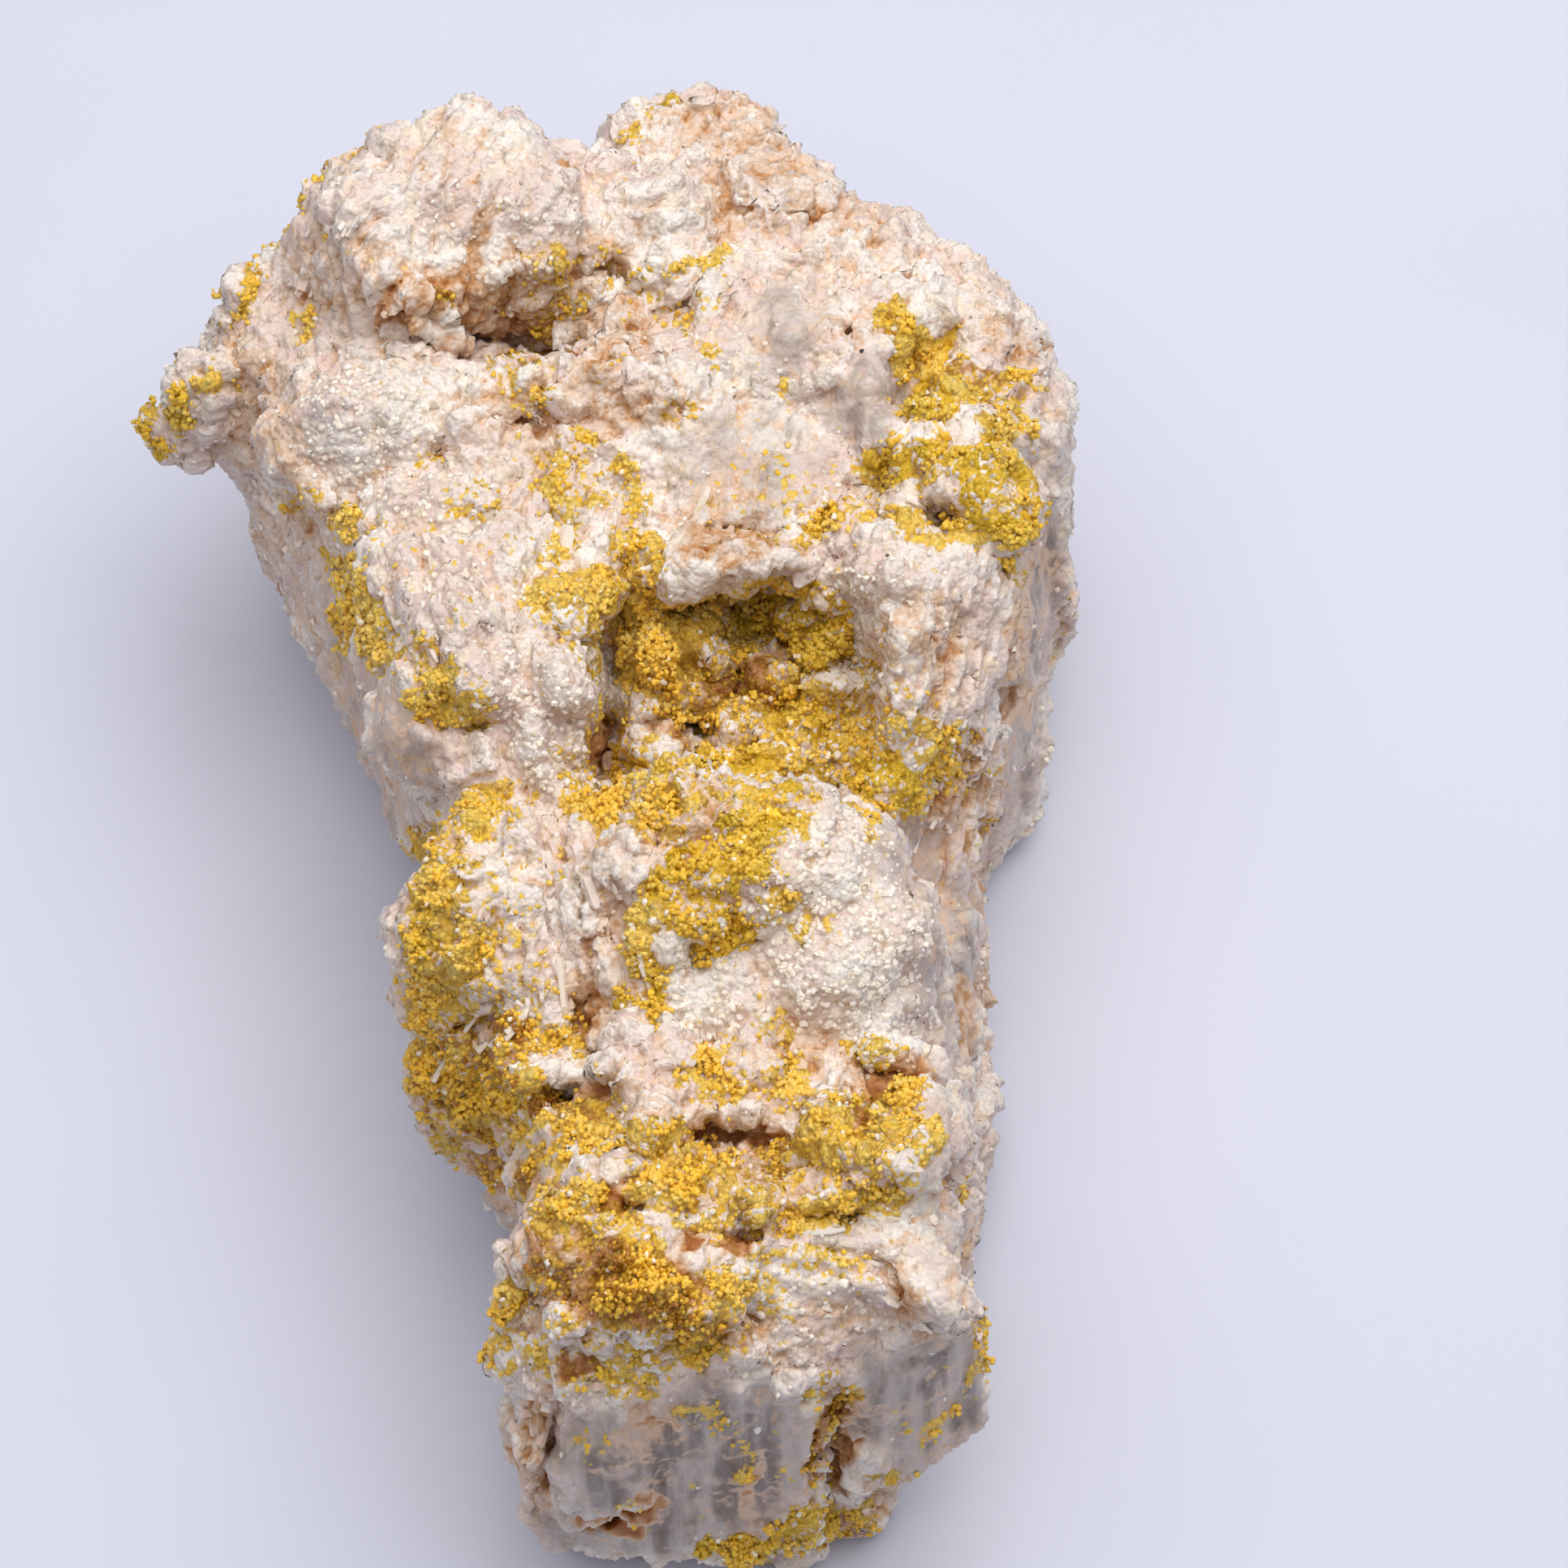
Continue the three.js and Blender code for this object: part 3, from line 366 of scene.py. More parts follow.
# Iron stain: tan to orange-brown, in the seams, pockets and under the overhangs. Some patches are painted
# shade as well: in the dark hole and gaps of the hollow, and on the shaded left flank.
STAIN_AND_SHADE = {
    1.6: [Patch(u=1072, v=1376, wide=16, tall=16)],
    1.5: [
        Patch(u=780, v=1480, wide=20, tall=20), Patch(u=760, v=1865, wide=60, tall=16, turn=-15),
    ],
    1.4: [
        Patch(u=890, v=1525, wide=50, tall=12), Patch(u=715, v=1668, wide=40, tall=14, turn=-5),
    ],
    1.3: [
        Patch(u=720, v=1350, wide=60, tall=24, turn=-20), Patch(u=1020, v=1780, wide=30, tall=80, turn=8),
        Patch(u=905, v=845, wide=30, tall=26, turn=20),
    ],
    1.2: [
        # The patches at (930, 742), (960, 790) and (862, 892) paint the shade in the hollow's dark hole and
        # gaps.
        Patch(u=1085, v=1335, wide=56, tall=34, turn=-15), Patch(u=930, v=742, wide=20, tall=16),
        Patch(u=960, v=790, wide=40, tall=16), Patch(u=862, v=892, wide=26, tall=12, turn=20),
    ],
    1.1: [
        Patch(u=910, v=1405, wide=80, tall=30, turn=10), Patch(u=742, v=925, wide=30, tall=46, turn=8),
        Patch(u=790, v=1580, wide=80, tall=60),
    ],
    1.0: [
        Patch(u=510, v=385, wide=30, tall=14, turn=30), Patch(u=700, v=1250, wide=14, tall=50, turn=-8),
    ],
    0.95: [Patch(u=1015, v=262, wide=22, tall=14)],
    0.9: [
        Patch(u=650, v=440, wide=130, tall=12, turn=3), Patch(u=1215, v=475, wide=24, tall=8),
        Patch(u=630, v=1450, wide=50, tall=40, turn=30), Patch(u=600, v=1262, wide=50, tall=24, turn=40),
    ],
    0.8: [
        Patch(u=590, v=300, wide=10, tall=60, turn=35), Patch(u=900, v=665, wide=60, tall=18),
        Patch(u=1165, v=640, wide=26, tall=16, turn=20), Patch(u=1200, v=1050, wide=12, tall=60, turn=5),
        Patch(u=700, v=1560, wide=50, tall=60),
    ],
    0.75: [
        Patch(u=600, v=375, wide=110, tall=34, turn=8), Patch(u=665, v=1790, wide=24, tall=70),
        Patch(u=850, v=1640, wide=80, tall=30),
    ],
    0.7: [
        Patch(u=700, v=210, wide=16, tall=14), Patch(u=1185, v=950, wide=16, tall=50, turn=5),
        Patch(u=730, v=1240, wide=50, tall=50), Patch(u=1110, v=1590, wide=13, tall=54, turn=-35),
        Patch(u=1180, v=1250, wide=24, tall=50),
    ],
    0.6: [
        Patch(u=740, v=410, wide=90, tall=26, turn=-12), Patch(u=440, v=350, wide=12, tall=50, turn=30),
        Patch(u=930, v=185, wide=60, tall=26, turn=30), Patch(u=1235, v=860, wide=16, tall=60, turn=8),
        Patch(u=990, v=1290, wide=40, tall=40), Patch(u=650, v=1590, wide=30, tall=50),
        Patch(u=1195, v=1560, wide=24, tall=60), Patch(u=1060, v=1880, wide=30, tall=60, turn=30),
        Patch(u=600, v=1370, wide=60, tall=60), Patch(u=900, v=1440, wide=80, tall=40),
    ],
    0.55: [
        Patch(u=700, v=340, wide=110, tall=36), Patch(u=310, v=450, wide=22, tall=60),
        Patch(u=640, v=525, wide=70, tall=40),
    ],
    0.5: [
        Patch(u=540, v=165, wide=12, tall=40, turn=20), Patch(u=390, v=630, wide=50, tall=34),
        Patch(u=760, v=770, wide=30, tall=60, turn=10), Patch(u=890, v=850, wide=100, tall=60, turn=-10),
        Patch(u=740, v=925, wide=30, tall=40), Patch(u=830, v=1000, wide=100, tall=40),
        Patch(u=920, v=1850, wide=10, tall=60), Patch(u=560, v=1290, wide=40, tall=60),
        Patch(u=1245, v=820, wide=24, tall=200, turn=6), Patch(u=795, v=1035, wide=60, tall=44),
        Patch(u=660, v=1500, wide=30, tall=60, turn=30),
    ],
    0.45: [
        Patch(u=1000, v=230, wide=100, tall=26, turn=25), Patch(u=360, v=560, wide=40, tall=70, turn=-20),
        Patch(u=810, v=500, wide=50, tall=30),
    ],
    0.4: [
        # The patch at (930, 790) paints the shade under the hollow's lip.
        Patch(u=900, v=250, wide=50, tall=24), Patch(u=930, v=790, wide=60, tall=26),
        Patch(u=790, v=1750, wide=40, tall=50, turn=-30), Patch(u=1060, v=1430, wide=60, tall=60),
        Patch(u=545, v=1130, wide=30, tall=110), Patch(u=330, v=520, wide=60, tall=60),
    ],
    0.35: [
        Patch(u=1040, v=410, wide=40, tall=26), Patch(u=1250, v=420, wide=50, tall=50),
        Patch(u=870, v=1360, wide=90, tall=30), Patch(u=1010, v=1640, wide=80, tall=30),
        # The patch at (470, 920) paints the shade of the left flank.
        Patch(u=1140, v=800, wide=50, tall=90, turn=12), Patch(u=470, v=920, wide=50, tall=100),
        Patch(u=420, v=330, wide=80, tall=60), Patch(u=700, v=500, wide=160, tall=50),
        Patch(u=760, v=1400, wide=60, tall=30),
    ],
    0.3: [
        Patch(u=1120, v=820, wide=50, tall=70, turn=15), Patch(u=1170, v=1060, wide=50, tall=120, turn=12),
        Patch(u=740, v=1120, wide=50, tall=90, turn=-15), Patch(u=380, v=760, wide=60, tall=200, turn=-25),
        Patch(u=980, v=180, wide=200, tall=90, turn=20),
    ],
    0.25: [Patch(u=900, v=620, wide=100, tall=50, turn=-20)],
}
# Flat cleavage faces, greyer and smoother than the rest. The patch on the left flank, at (470, 920), paints
# the shade of that side grey.
SLAB = {
    1.0: [
        Patch(u=1178, v=1190, wide=46, tall=100), Patch(u=855, v=1810, wide=150, tall=100, turn=-8),
        Patch(u=1140, v=1720, wide=90, tall=90, turn=-25),
    ],
    0.9: [Patch(u=1275, v=740, wide=26, tall=110, turn=5)],
    0.85: [Patch(u=740, v=1790, wide=50, tall=60, turn=-15)],
    0.8: [
        Patch(u=1262, v=930, wide=26, tall=90, turn=10), Patch(u=720, v=1900, wide=90, tall=40),
    ],
    0.6: [
        Patch(u=1130, v=1050, wide=50, tall=60), Patch(u=620, v=1450, wide=70, tall=70, turn=40),
        Patch(u=975, v=410, wide=50, tall=50, turn=-45), Patch(u=1075, v=490, wide=46, tall=46),
    ],
    # Painted shade: the left flank's shadow side is made greyer.
    0.55: [Patch(u=470, v=920, wide=60, tall=110, turn=-10)],
    0.45: [Patch(u=925, v=570, wide=110, tall=70)],
    0.35: [
        Patch(u=1165, v=1420, wide=34, tall=200), Patch(u=430, v=800, wide=50, tall=110, turn=-20),
    ],
    0.2: [Patch(u=1295, v=560, wide=42, tall=110)],
}
# Sparkling masses of small clear blocky crystals.
SUGAR = {
    1.0: [
        Patch(u=1040, v=1150, wide=100, tall=170, turn=-10), Patch(u=1000, v=1040, wide=60, tall=50),
        Patch(u=1070, v=1250, wide=70, tall=60),
    ],
    0.9: [
        Patch(u=880, v=1230, wide=70, tall=60), Patch(u=660, v=900, wide=50, tall=110, turn=-15),
    ],
    0.8: [
        Patch(u=860, v=1170, wide=40, tall=40), Patch(u=450, v=520, wide=90, tall=80),
        Patch(u=650, v=1310, wide=60, tall=24, turn=-15),
    ],
    0.7: [
        Patch(u=720, v=830, wide=46, tall=50), Patch(u=1050, v=840, wide=50, tall=34),
    ],
    0.6: [
        Patch(u=560, v=620, wide=80, tall=50), Patch(u=1060, v=930, wide=60, tall=40),
        Patch(u=1090, v=720, wide=60, tall=34),
    ],
    0.5: [
        Patch(u=620, v=720, wide=60, tall=60), Patch(u=1000, v=1620, wide=100, tall=50),
    ],
    0.4: [
        Patch(u=600, v=280, wide=120, tall=70), Patch(u=920, v=440, wide=90, tall=60),
    ],
}
# Hollows pressed into the rock away from the camera, amounts in millimetres.
DENTS = {
    5.0: [Patch(u=930, v=742, wide=16, tall=13)],
    4.6: [Patch(u=886, v=1524, wide=46, tall=11, turn=4)],
    4.4: [Patch(u=742, v=1348, wide=24, tall=26, turn=-20)],
    4.0: [Patch(u=630, v=425, wide=120, tall=24, turn=4)],
    3.8: [
        Patch(u=905, v=744, wide=95, tall=17, turn=-3), Patch(u=784, v=1486, wide=20, tall=13, turn=15),
    ],
    3.6: [Patch(u=908, v=845, wide=22, tall=24, turn=20)],
    3.4: [
        Patch(u=1018, v=1780, wide=26, tall=90, turn=6), Patch(u=925, v=784, wide=56, tall=24),
        Patch(u=858, v=894, wide=40, tall=18, turn=20), Patch(u=1070, v=1376, wide=11, tall=13),
    ],
    3.2: [
        Patch(u=715, v=1668, wide=30, tall=9, turn=-5), Patch(u=830, v=745, wide=44, tall=12, turn=-28),
        Patch(u=570, v=1268, wide=8, tall=40, turn=40),
    ],
    3.0: [Patch(u=748, v=926, wide=42, tall=54, turn=8)],
    2.6: [
        Patch(u=912, v=1412, wide=66, tall=36, turn=14), Patch(u=1086, v=1342, wide=48, tall=34, turn=-10),
        Patch(u=690, v=1352, wide=40, tall=9, turn=-5),
    ],
    2.5: [Patch(u=520, v=388, wide=40, tall=13, turn=28)],
    2.4: [
        Patch(u=672, v=1790, wide=12, tall=70, turn=6), Patch(u=600, v=1262, wide=6, tall=30, turn=45),
    ],
    2.2: [
        Patch(u=1168, v=640, wide=22, tall=13, turn=20), Patch(u=760, v=1868, wide=50, tall=9, turn=-18),
    ],
    2.0: [
        Patch(u=990, v=1900, wide=50, tall=8, turn=-10), Patch(u=1078, v=815, wide=8, tall=22),
        Patch(u=1112, v=1400, wide=8, tall=26), Patch(u=1040, v=1500, wide=40, tall=5, turn=-4),
    ],
    1.8: [
        Patch(u=915, v=660, wide=46, tall=14), Patch(u=1025, v=690, wide=30, tall=14, turn=-25),
        Patch(u=770, v=700, wide=16, tall=26), Patch(u=560, v=880, wide=46, tall=34, turn=25),
        Patch(u=1186, v=955, wide=9, tall=34, turn=5), Patch(u=670, v=1340, wide=40, tall=9, turn=-8),
        Patch(u=1108, v=1590, wide=9, tall=50, turn=-38), Patch(u=768, v=765, wide=10, tall=46, turn=8),
        Patch(u=860, v=955, wide=8, tall=18), Patch(u=690, v=1490, wide=26, tall=8, turn=-10),
    ],
    1.6: [
        Patch(u=700, v=365, wide=120, tall=40, turn=-5), Patch(u=1198, v=1045, wide=6, tall=44, turn=5),
        Patch(u=690, v=1200, wide=6, tall=46, turn=-5), Patch(u=668, v=758, wide=14, tall=14),
    ],
    1.4: [
        Patch(u=820, v=400, wide=60, tall=20, turn=-25), Patch(u=1090, v=640, wide=14, tall=20, turn=-40),
        Patch(u=730, v=1245, wide=40, tall=34), Patch(u=600, v=1245, wide=12, tall=40, turn=40),
        Patch(u=1000, v=1512, wide=60, tall=5, turn=-3), Patch(u=920, v=1625, wide=26, tall=9, turn=20),
        Patch(u=945, v=1450, wide=22, tall=12),
    ],
    1.3: [
        Patch(u=540, v=800, wide=10, tall=46, turn=-10), Patch(u=1236, v=862, wide=14, tall=44, turn=8),
    ],
    1.2: [
        Patch(u=660, v=520, wide=70, tall=26), Patch(u=835, v=505, wide=18, tall=22),
        Patch(u=540, v=555, wide=20, tall=12), Patch(u=1040, v=415, wide=20, tall=24, turn=30),
        Patch(u=660, v=1600, wide=20, tall=24), Patch(u=640, v=1640, wide=8, tall=10),
    ],
    1.0: [
        Patch(u=650, v=720, wide=12, tall=30, turn=20), Patch(u=1165, v=1070, wide=5, tall=70, turn=8),
        Patch(u=1050, v=1545, wide=60, tall=4, turn=10), Patch(u=1085, v=1650, wide=8, tall=16, turn=-30),
        Patch(u=1165, v=1260, wide=10, tall=40),
    ],
    0.9: [
        Patch(u=790, v=1760, wide=26, tall=30, turn=-35), Patch(u=788, v=1038, wide=40, tall=34),
    ],
}
# Masses that stand out of the rock towards the camera, amounts in millimetres.
SWELLS = {
    2.6: [Patch(u=1010, v=768, wide=42, tall=38)],
    2.4: [Patch(u=800, v=815, wide=38, tall=32)],
    2.2: [Patch(u=800, v=1390, wide=26, tall=34)],
    2.0: [
        Patch(u=846, v=846, wide=32, tall=24), Patch(u=825, v=916, wide=38, tall=26),
    ],
    1.9: [Patch(u=700, v=842, wide=42, tall=42)],
    1.8: [Patch(u=803, v=868, wide=34, tall=20)],
    1.6: [
        Patch(u=1030, v=852, wide=34, tall=22), Patch(u=905, v=905, wide=26, tall=26),
        Patch(u=930, v=945, wide=60, tall=20, turn=4), Patch(u=700, v=742, wide=42, tall=38),
        Patch(u=760, v=1425, wide=40, tall=26), Patch(u=980, v=1472, wide=100, tall=15, turn=-4),
    ],
    1.5: [
        Patch(u=965, v=900, wide=46, tall=22), Patch(u=905, v=700, wide=110, tall=20, turn=-3),
    ],
    1.4: [
        Patch(u=880, v=800, wide=28, tall=16), Patch(u=682, v=1325, wide=80, tall=18, turn=-12),
        Patch(u=1050, v=856, wide=34, tall=24, turn=10),
    ],
    1.3: [Patch(u=450, v=520, wide=70, tall=60)],
    1.2: [
        Patch(u=640, v=340, wide=60, tall=16, turn=-14), Patch(u=1085, v=712, wide=60, tall=24, turn=8),
        Patch(u=930, v=1298, wide=50, tall=32, turn=-40), Patch(u=1130, v=1440, wide=12, tall=50),
        Patch(u=940, v=838, wide=34, tall=20, turn=-20),
    ],
    1.0: [
        Patch(u=700, v=460, wide=130, tall=14, turn=-4), Patch(u=975, v=400, wide=30, tall=40, turn=-35),
        Patch(u=1070, v=490, wide=30, tall=50, turn=-15), Patch(u=980, v=600, wide=70, tall=50, turn=-30),
        Patch(u=1010, v=1060, wide=60, tall=40, turn=20), Patch(u=640, v=1368, wide=60, tall=14, turn=5),
        Patch(u=1060, v=1435, wide=46, tall=36), Patch(u=740, v=1412, wide=34, tall=20, turn=-20),
    ],
    0.9: [
        Patch(u=560, v=620, wide=70, tall=36), Patch(u=560, v=720, wide=30, tall=90, turn=-12),
        Patch(u=640, v=900, wide=26, tall=80, turn=-18), Patch(u=850, v=1468, wide=60, tall=22),
        Patch(u=800, v=1375, wide=28, tall=34),
    ],
    0.8: [
        Patch(u=800, v=230, wide=70, tall=26, turn=10), Patch(u=450, v=700, wide=20, tall=50, turn=-15),
        Patch(u=840, v=1600, wide=60, tall=40), Patch(u=740, v=1800, wide=44, tall=46, turn=-15),
        Patch(u=930, v=1060, wide=60, tall=46, turn=-20),
    ],
    0.7: [
        Patch(u=840, v=1250, wide=40, tall=60), Patch(u=1010, v=1230, wide=60, tall=40),
        Patch(u=985, v=1290, wide=40, tall=26, turn=30),
    ],
}
# Rows of thin parallel blades: their patches, and which way the blades run, degrees from right towards up.
Grain = namedtuple("Grain", "patches runs")
GRAINS = [
    Grain(
        [Patch(u=540, v=230, wide=150, tall=100, turn=-10), Patch(u=380, v=330, wide=70, tall=90)],
        runs=62,
    ),
    Grain(
        [Patch(u=560, v=730, wide=90, tall=100, turn=-15), Patch(u=500, v=780, wide=60, tall=80)],
        runs=-68,
    ),
    Grain([Patch(u=690, v=640, wide=100, tall=90), Patch(u=880, v=620, wide=80, tall=60)], runs=72),
    Grain([Patch(u=690, v=1120, wide=90, tall=150)], runs=-72),
    Grain([Patch(u=1190, v=900, wide=90, tall=330, turn=8)], runs=80),
    Grain([Patch(u=590, v=1270, wide=60, tall=50)], runs=40),
    Grain([Patch(u=1040, v=1560, wide=110, tall=80, turn=20)], runs=-18),
    Grain([Patch(u=380, v=720, wide=60, tall=220, turn=-25)], runs=-60),
    Grain([Patch(u=660, v=1780, wide=40, tall=130)], runs=85),
]

# Single blades that the picture shows: their middle in it, size in millimetres, and turn in degrees.
# One with edge=True stands with its edge to the camera, and the others lie with a face to it.
Blade = namedtuple("Blade", "u v long wide thick turn edge", defaults=(True,))
BLADES = [
    Blade(u=697, v=672, long=2.6, wide=0.7, thick=0.6, turn=80, edge=False),
    Blade(u=860, v=620, long=2.6, wide=0.9, thick=0.35, turn=62),
    Blade(u=790, v=1180, long=2.8, wide=0.9, thick=0.25, turn=-78),
    Blade(u=802, v=1195, long=2.6, wide=0.9, thick=0.22, turn=-80),
    Blade(u=700, v=1225, long=3.4, wide=1.4, thick=0.3, turn=-84),
    Blade(u=585, v=1262, long=2.0, wide=1.3, thick=0.2, turn=52),
    Blade(u=600, v=1268, long=2.3, wide=1.3, thick=0.2, turn=50),
    Blade(u=614, v=1262, long=2.2, wide=1.3, thick=0.2, turn=48),
    Blade(u=628, v=1270, long=2.0, wide=1.3, thick=0.18, turn=46),
    Blade(u=640, v=1262, long=1.8, wide=1.2, thick=0.18, turn=44),
    Blade(u=535, v=1310, long=2.6, wide=1.3, thick=0.25, turn=62),
    Blade(u=550, v=1325, long=2.2, wide=1.3, thick=0.22, turn=58),
    Blade(u=1000, v=1508, long=3.4, wide=1.2, thick=0.22, turn=4),
    Blade(u=1040, v=1525, long=3.2, wide=1.2, thick=0.2, turn=-8),
    Blade(u=1070, v=1548, long=3.0, wide=1.2, thick=0.22, turn=-16),
    Blade(u=1090, v=1600, long=2.4, wide=1.2, thick=0.22, turn=-40),
    Blade(u=1120, v=1620, long=2.4, wide=1.2, thick=0.2, turn=-50),
]


# ---------------------------------------------------------------- meshes

def mesh_object(name, points, faces, smooth):
    """A mesh in metres from points in millimetres and rows of point numbers, all rows one length."""
    mesh = bpy.data.meshes.new(name)
    mesh.vertices.add(len(points))
    mesh.vertices.foreach_set("co", (points * MM).astype(np.float32).ravel())
    mesh.loops.add(faces.size)
    mesh.loops.foreach_set("vertex_index", faces.astype(np.int32).ravel())
    mesh.polygons.add(len(faces))
    mesh.polygons.foreach_set("loop_start", np.arange(0, faces.size, faces.shape[1], dtype=np.int32))
    mesh.update(calc_edges=True)
    mesh.validate()
    mesh.polygons.foreach_set("use_smooth", np.full(len(mesh.polygons), smooth))
    made = bpy.data.objects.new(name, mesh)
    bpy.context.scene.collection.objects.link(made)
    return made


def give(made, name, values):
    """Stores one number for each point of a mesh, for its material to read."""
    attribute = made.data.attributes.new(name, "FLOAT", "POINT")
    attribute.data.foreach_set("value", values.astype(np.float32))


def node_mesh(name, grow=0.0):
    """A CAD node's points, in millimetres, and triangles, pushed out by grow."""
    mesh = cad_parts[name].data
    mesh.calc_loop_triangles()
    points = np.zeros(len(mesh.vertices) * 3)
    mesh.vertices.foreach_get("co", points)
    points = points.reshape(-1, 3) / MM
    faces = np.zeros(len(mesh.loop_triangles) * 3, np.int32)
    mesh.loop_triangles.foreach_get("vertices", faces)
    shared, index = np.unique(np.round(points, 3), axis=0, return_inverse=True)
    faces = index.reshape(-1)[faces.reshape(-1, 3)]
    return shared + normals_of(shared, faces) * grow, faces


def normals_of(points, faces):
    """Unit normals at the points of a mesh of triangles or quads."""
    a, b, c = (points[faces[:, k]] for k in range(3))
    flat = np.cross(b - a, c - a)
    if faces.shape[1] == 4:
        flat += np.cross(c - a, points[faces[:, 3]] - a)
    total = np.zeros_like(points)
    for k in range(faces.shape[1]):
        np.add.at(total, faces[:, k], flat)
    return total / np.maximum(np.linalg.norm(total, axis=1), 1e-12)[:, None]


def halved(quads):
    """The two triangles of each quad."""
    return np.concatenate([quads[:, [0, 1, 2]], quads[:, [0, 2, 3]]])


def joined(meshes):
    """One mesh of several, each a pair of points and faces."""
    starts = np.cumsum([0] + [len(points) for points, _ in meshes])
    points = np.concatenate([points for points, _ in meshes])
    return points, np.concatenate([faces + start for (_, faces), start in zip(meshes, starts)])


def remeshed(points, faces, voxel):
    """One even skin of quads around closed meshes that overlap."""
    mesh = bpy.data.meshes.new("rough")
    mesh.from_pydata(points.tolist(), [], faces.tolist())
    rough = bpy.data.objects.new("rough", mesh)
    bpy.context.scene.collection.objects.link(rough)
    modifier = rough.modifiers.new("even", "REMESH")
    modifier.mode = "VOXEL"
    modifier.voxel_size = voxel
    bpy.context.view_layer.update()
    made = rough.evaluated_get(bpy.context.evaluated_depsgraph_get()).to_mesh()
    out = np.zeros(len(made.vertices) * 3)
    made.vertices.foreach_get("co", out)
    index = np.zeros(len(made.loops), np.int32)
    made.loops.foreach_get("vertex_index", index)
    rough.to_mesh_clear()
    bpy.data.objects.remove(rough)
    bpy.data.meshes.remove(mesh)
    return out.reshape(-1, 3), index.reshape(-1, 4)


def edges_of(quads):
    pairs = np.concatenate([quads[:, [k, (k + 1) % 4]] for k in range(4)])
    return np.unique(np.sort(pairs, axis=1), axis=0)


def softened(values, edges, rounds, share=0.5):
    """Values at points, each moved a share of the way to the mean of its neighbours, some rounds over."""
    if values.ndim > 1:
        return np.stack([softened(column, edges, rounds, share) for column in values.T], axis=1)
    one, other = edges[:, 0], edges[:, 1]
    size = len(values)
    count = np.maximum(np.bincount(one, minlength=size) + np.bincount(other, minlength=size), 1)
    for _ in range(rounds):
        total = np.bincount(one, values[other], size) + np.bincount(other, values[one], size)
        values = values + share * (total / count - values)
    return values


# ---------------------------------------------------------------- the rock's skin

ROUGH_VOXEL = 0.45
VOXEL = 0.24
MATRIX_NODE = "baryte_matrix"
CRUST_NODES = [n for n in sorted(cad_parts) if n.startswith("crust_")]
CRUST_GROWTH = 0.45
FLAT_FOOT = 0.8
SOFT_FOOT = 2.5
EYE_LIFT = 0.35
WARP_PX = 26
FINE_WARP_PX = 14
DENT_WARP_PX = 9
LISTED = {"mustard": MUSTARD, "olive": OLIVE, "stain": STAIN_AND_SHADE, "slab": SLAB, "sugar": SUGAR}
# How much of each crust the pale lumps in it take away.
BROKEN_BY_LUMPS = {"mustard": 0.8, "olive": 0.4}

# Relief, in layers: how high and how wide in millimetres, and the seed of each.
Layer = namedtuple("Layer", "height size seed")
BLOCKS = [Layer(0.9, 4.4, 41)]
LUMPS = [Layer(0.5, 3.4, 43), Layer(0.6, 1.9, 44), Layer(0.4, 1.0, 45)]
CHIPS = [Layer(0.6, 3.1, 46), Layer(0.4, 1.5, 47), Layer(0.3, 0.7, 49)]
CRUMBS = [Layer(0.3, 0.6, 50)]
LEDGES = [Layer(0.22, 2.2, 51), Layer(0.12, 0.8, 52)]
SUGAR_BUMPS = [Layer(0.45, 1.6, 53), Layer(0.42, 0.75, 54)]
CRUST_KNOBS = [Layer(0.9, 2.2, 57), Layer(0.8, 1.0, 58)]
CRUST_CHIPS = [Layer(0.35, 1.5, 47)]
LEDGE_UP = np.array([0.1, 0.0, 1.0])
LEDGE_STRETCH = 7
ROW_STRETCH = 4.5


def relief(kind, points, layers, base=0.0):
    """Layers of relief of a kind, facets or domes, added up on a base."""
    return sum((layer.height * kind(points, layer.size, layer.seed) for layer in layers), base)


def seen_from_eye(points, normals, faces):
    """1 where the camera sees a point, 0 where it doesn't."""
    tree = BVHTree.FromPolygons(points.tolist(), faces.tolist())
    to_eye = EYE - points
    to_eye /= np.linalg.norm(to_eye, axis=1)[:, None]
    facing = np.sum(to_eye * normals, axis=1)
    seen = smoothstep(-0.05, 0.25, facing)
    for i in np.nonzero(seen > 0)[0]:
        start = Vector(points[i] + normals[i] * EYE_LIFT)
        if tree.ray_cast(start, Vector(to_eye[i]))[0] is not None:
            seen[i] = 0
    return seen


def hidden_habits(points, normals):
    """How much of each habit and stain a point has where the camera doesn't see it."""
    yellow = smoothstep(0.22, 0.5, fractal(points, 9, 31)) * (0.35 + 0.5 * smoothstep(4, 24, points[:, 2]))
    return {
        "mustard": yellow,
        "olive": yellow * smoothstep(0.0, 0.4, noise(points, 7, 32)),
        "stain": smoothstep(0.1, 0.6, fractal(points, 7, 33)) * 0.6,
        "slab": smoothstep(0.05, 0.3, noise(points, 13, 34)) * smoothstep(0.5, 0.2, normals[:, 2]),
        "sugar": smoothstep(0.1, 0.5, fractal(points, 8, 35)),
    }


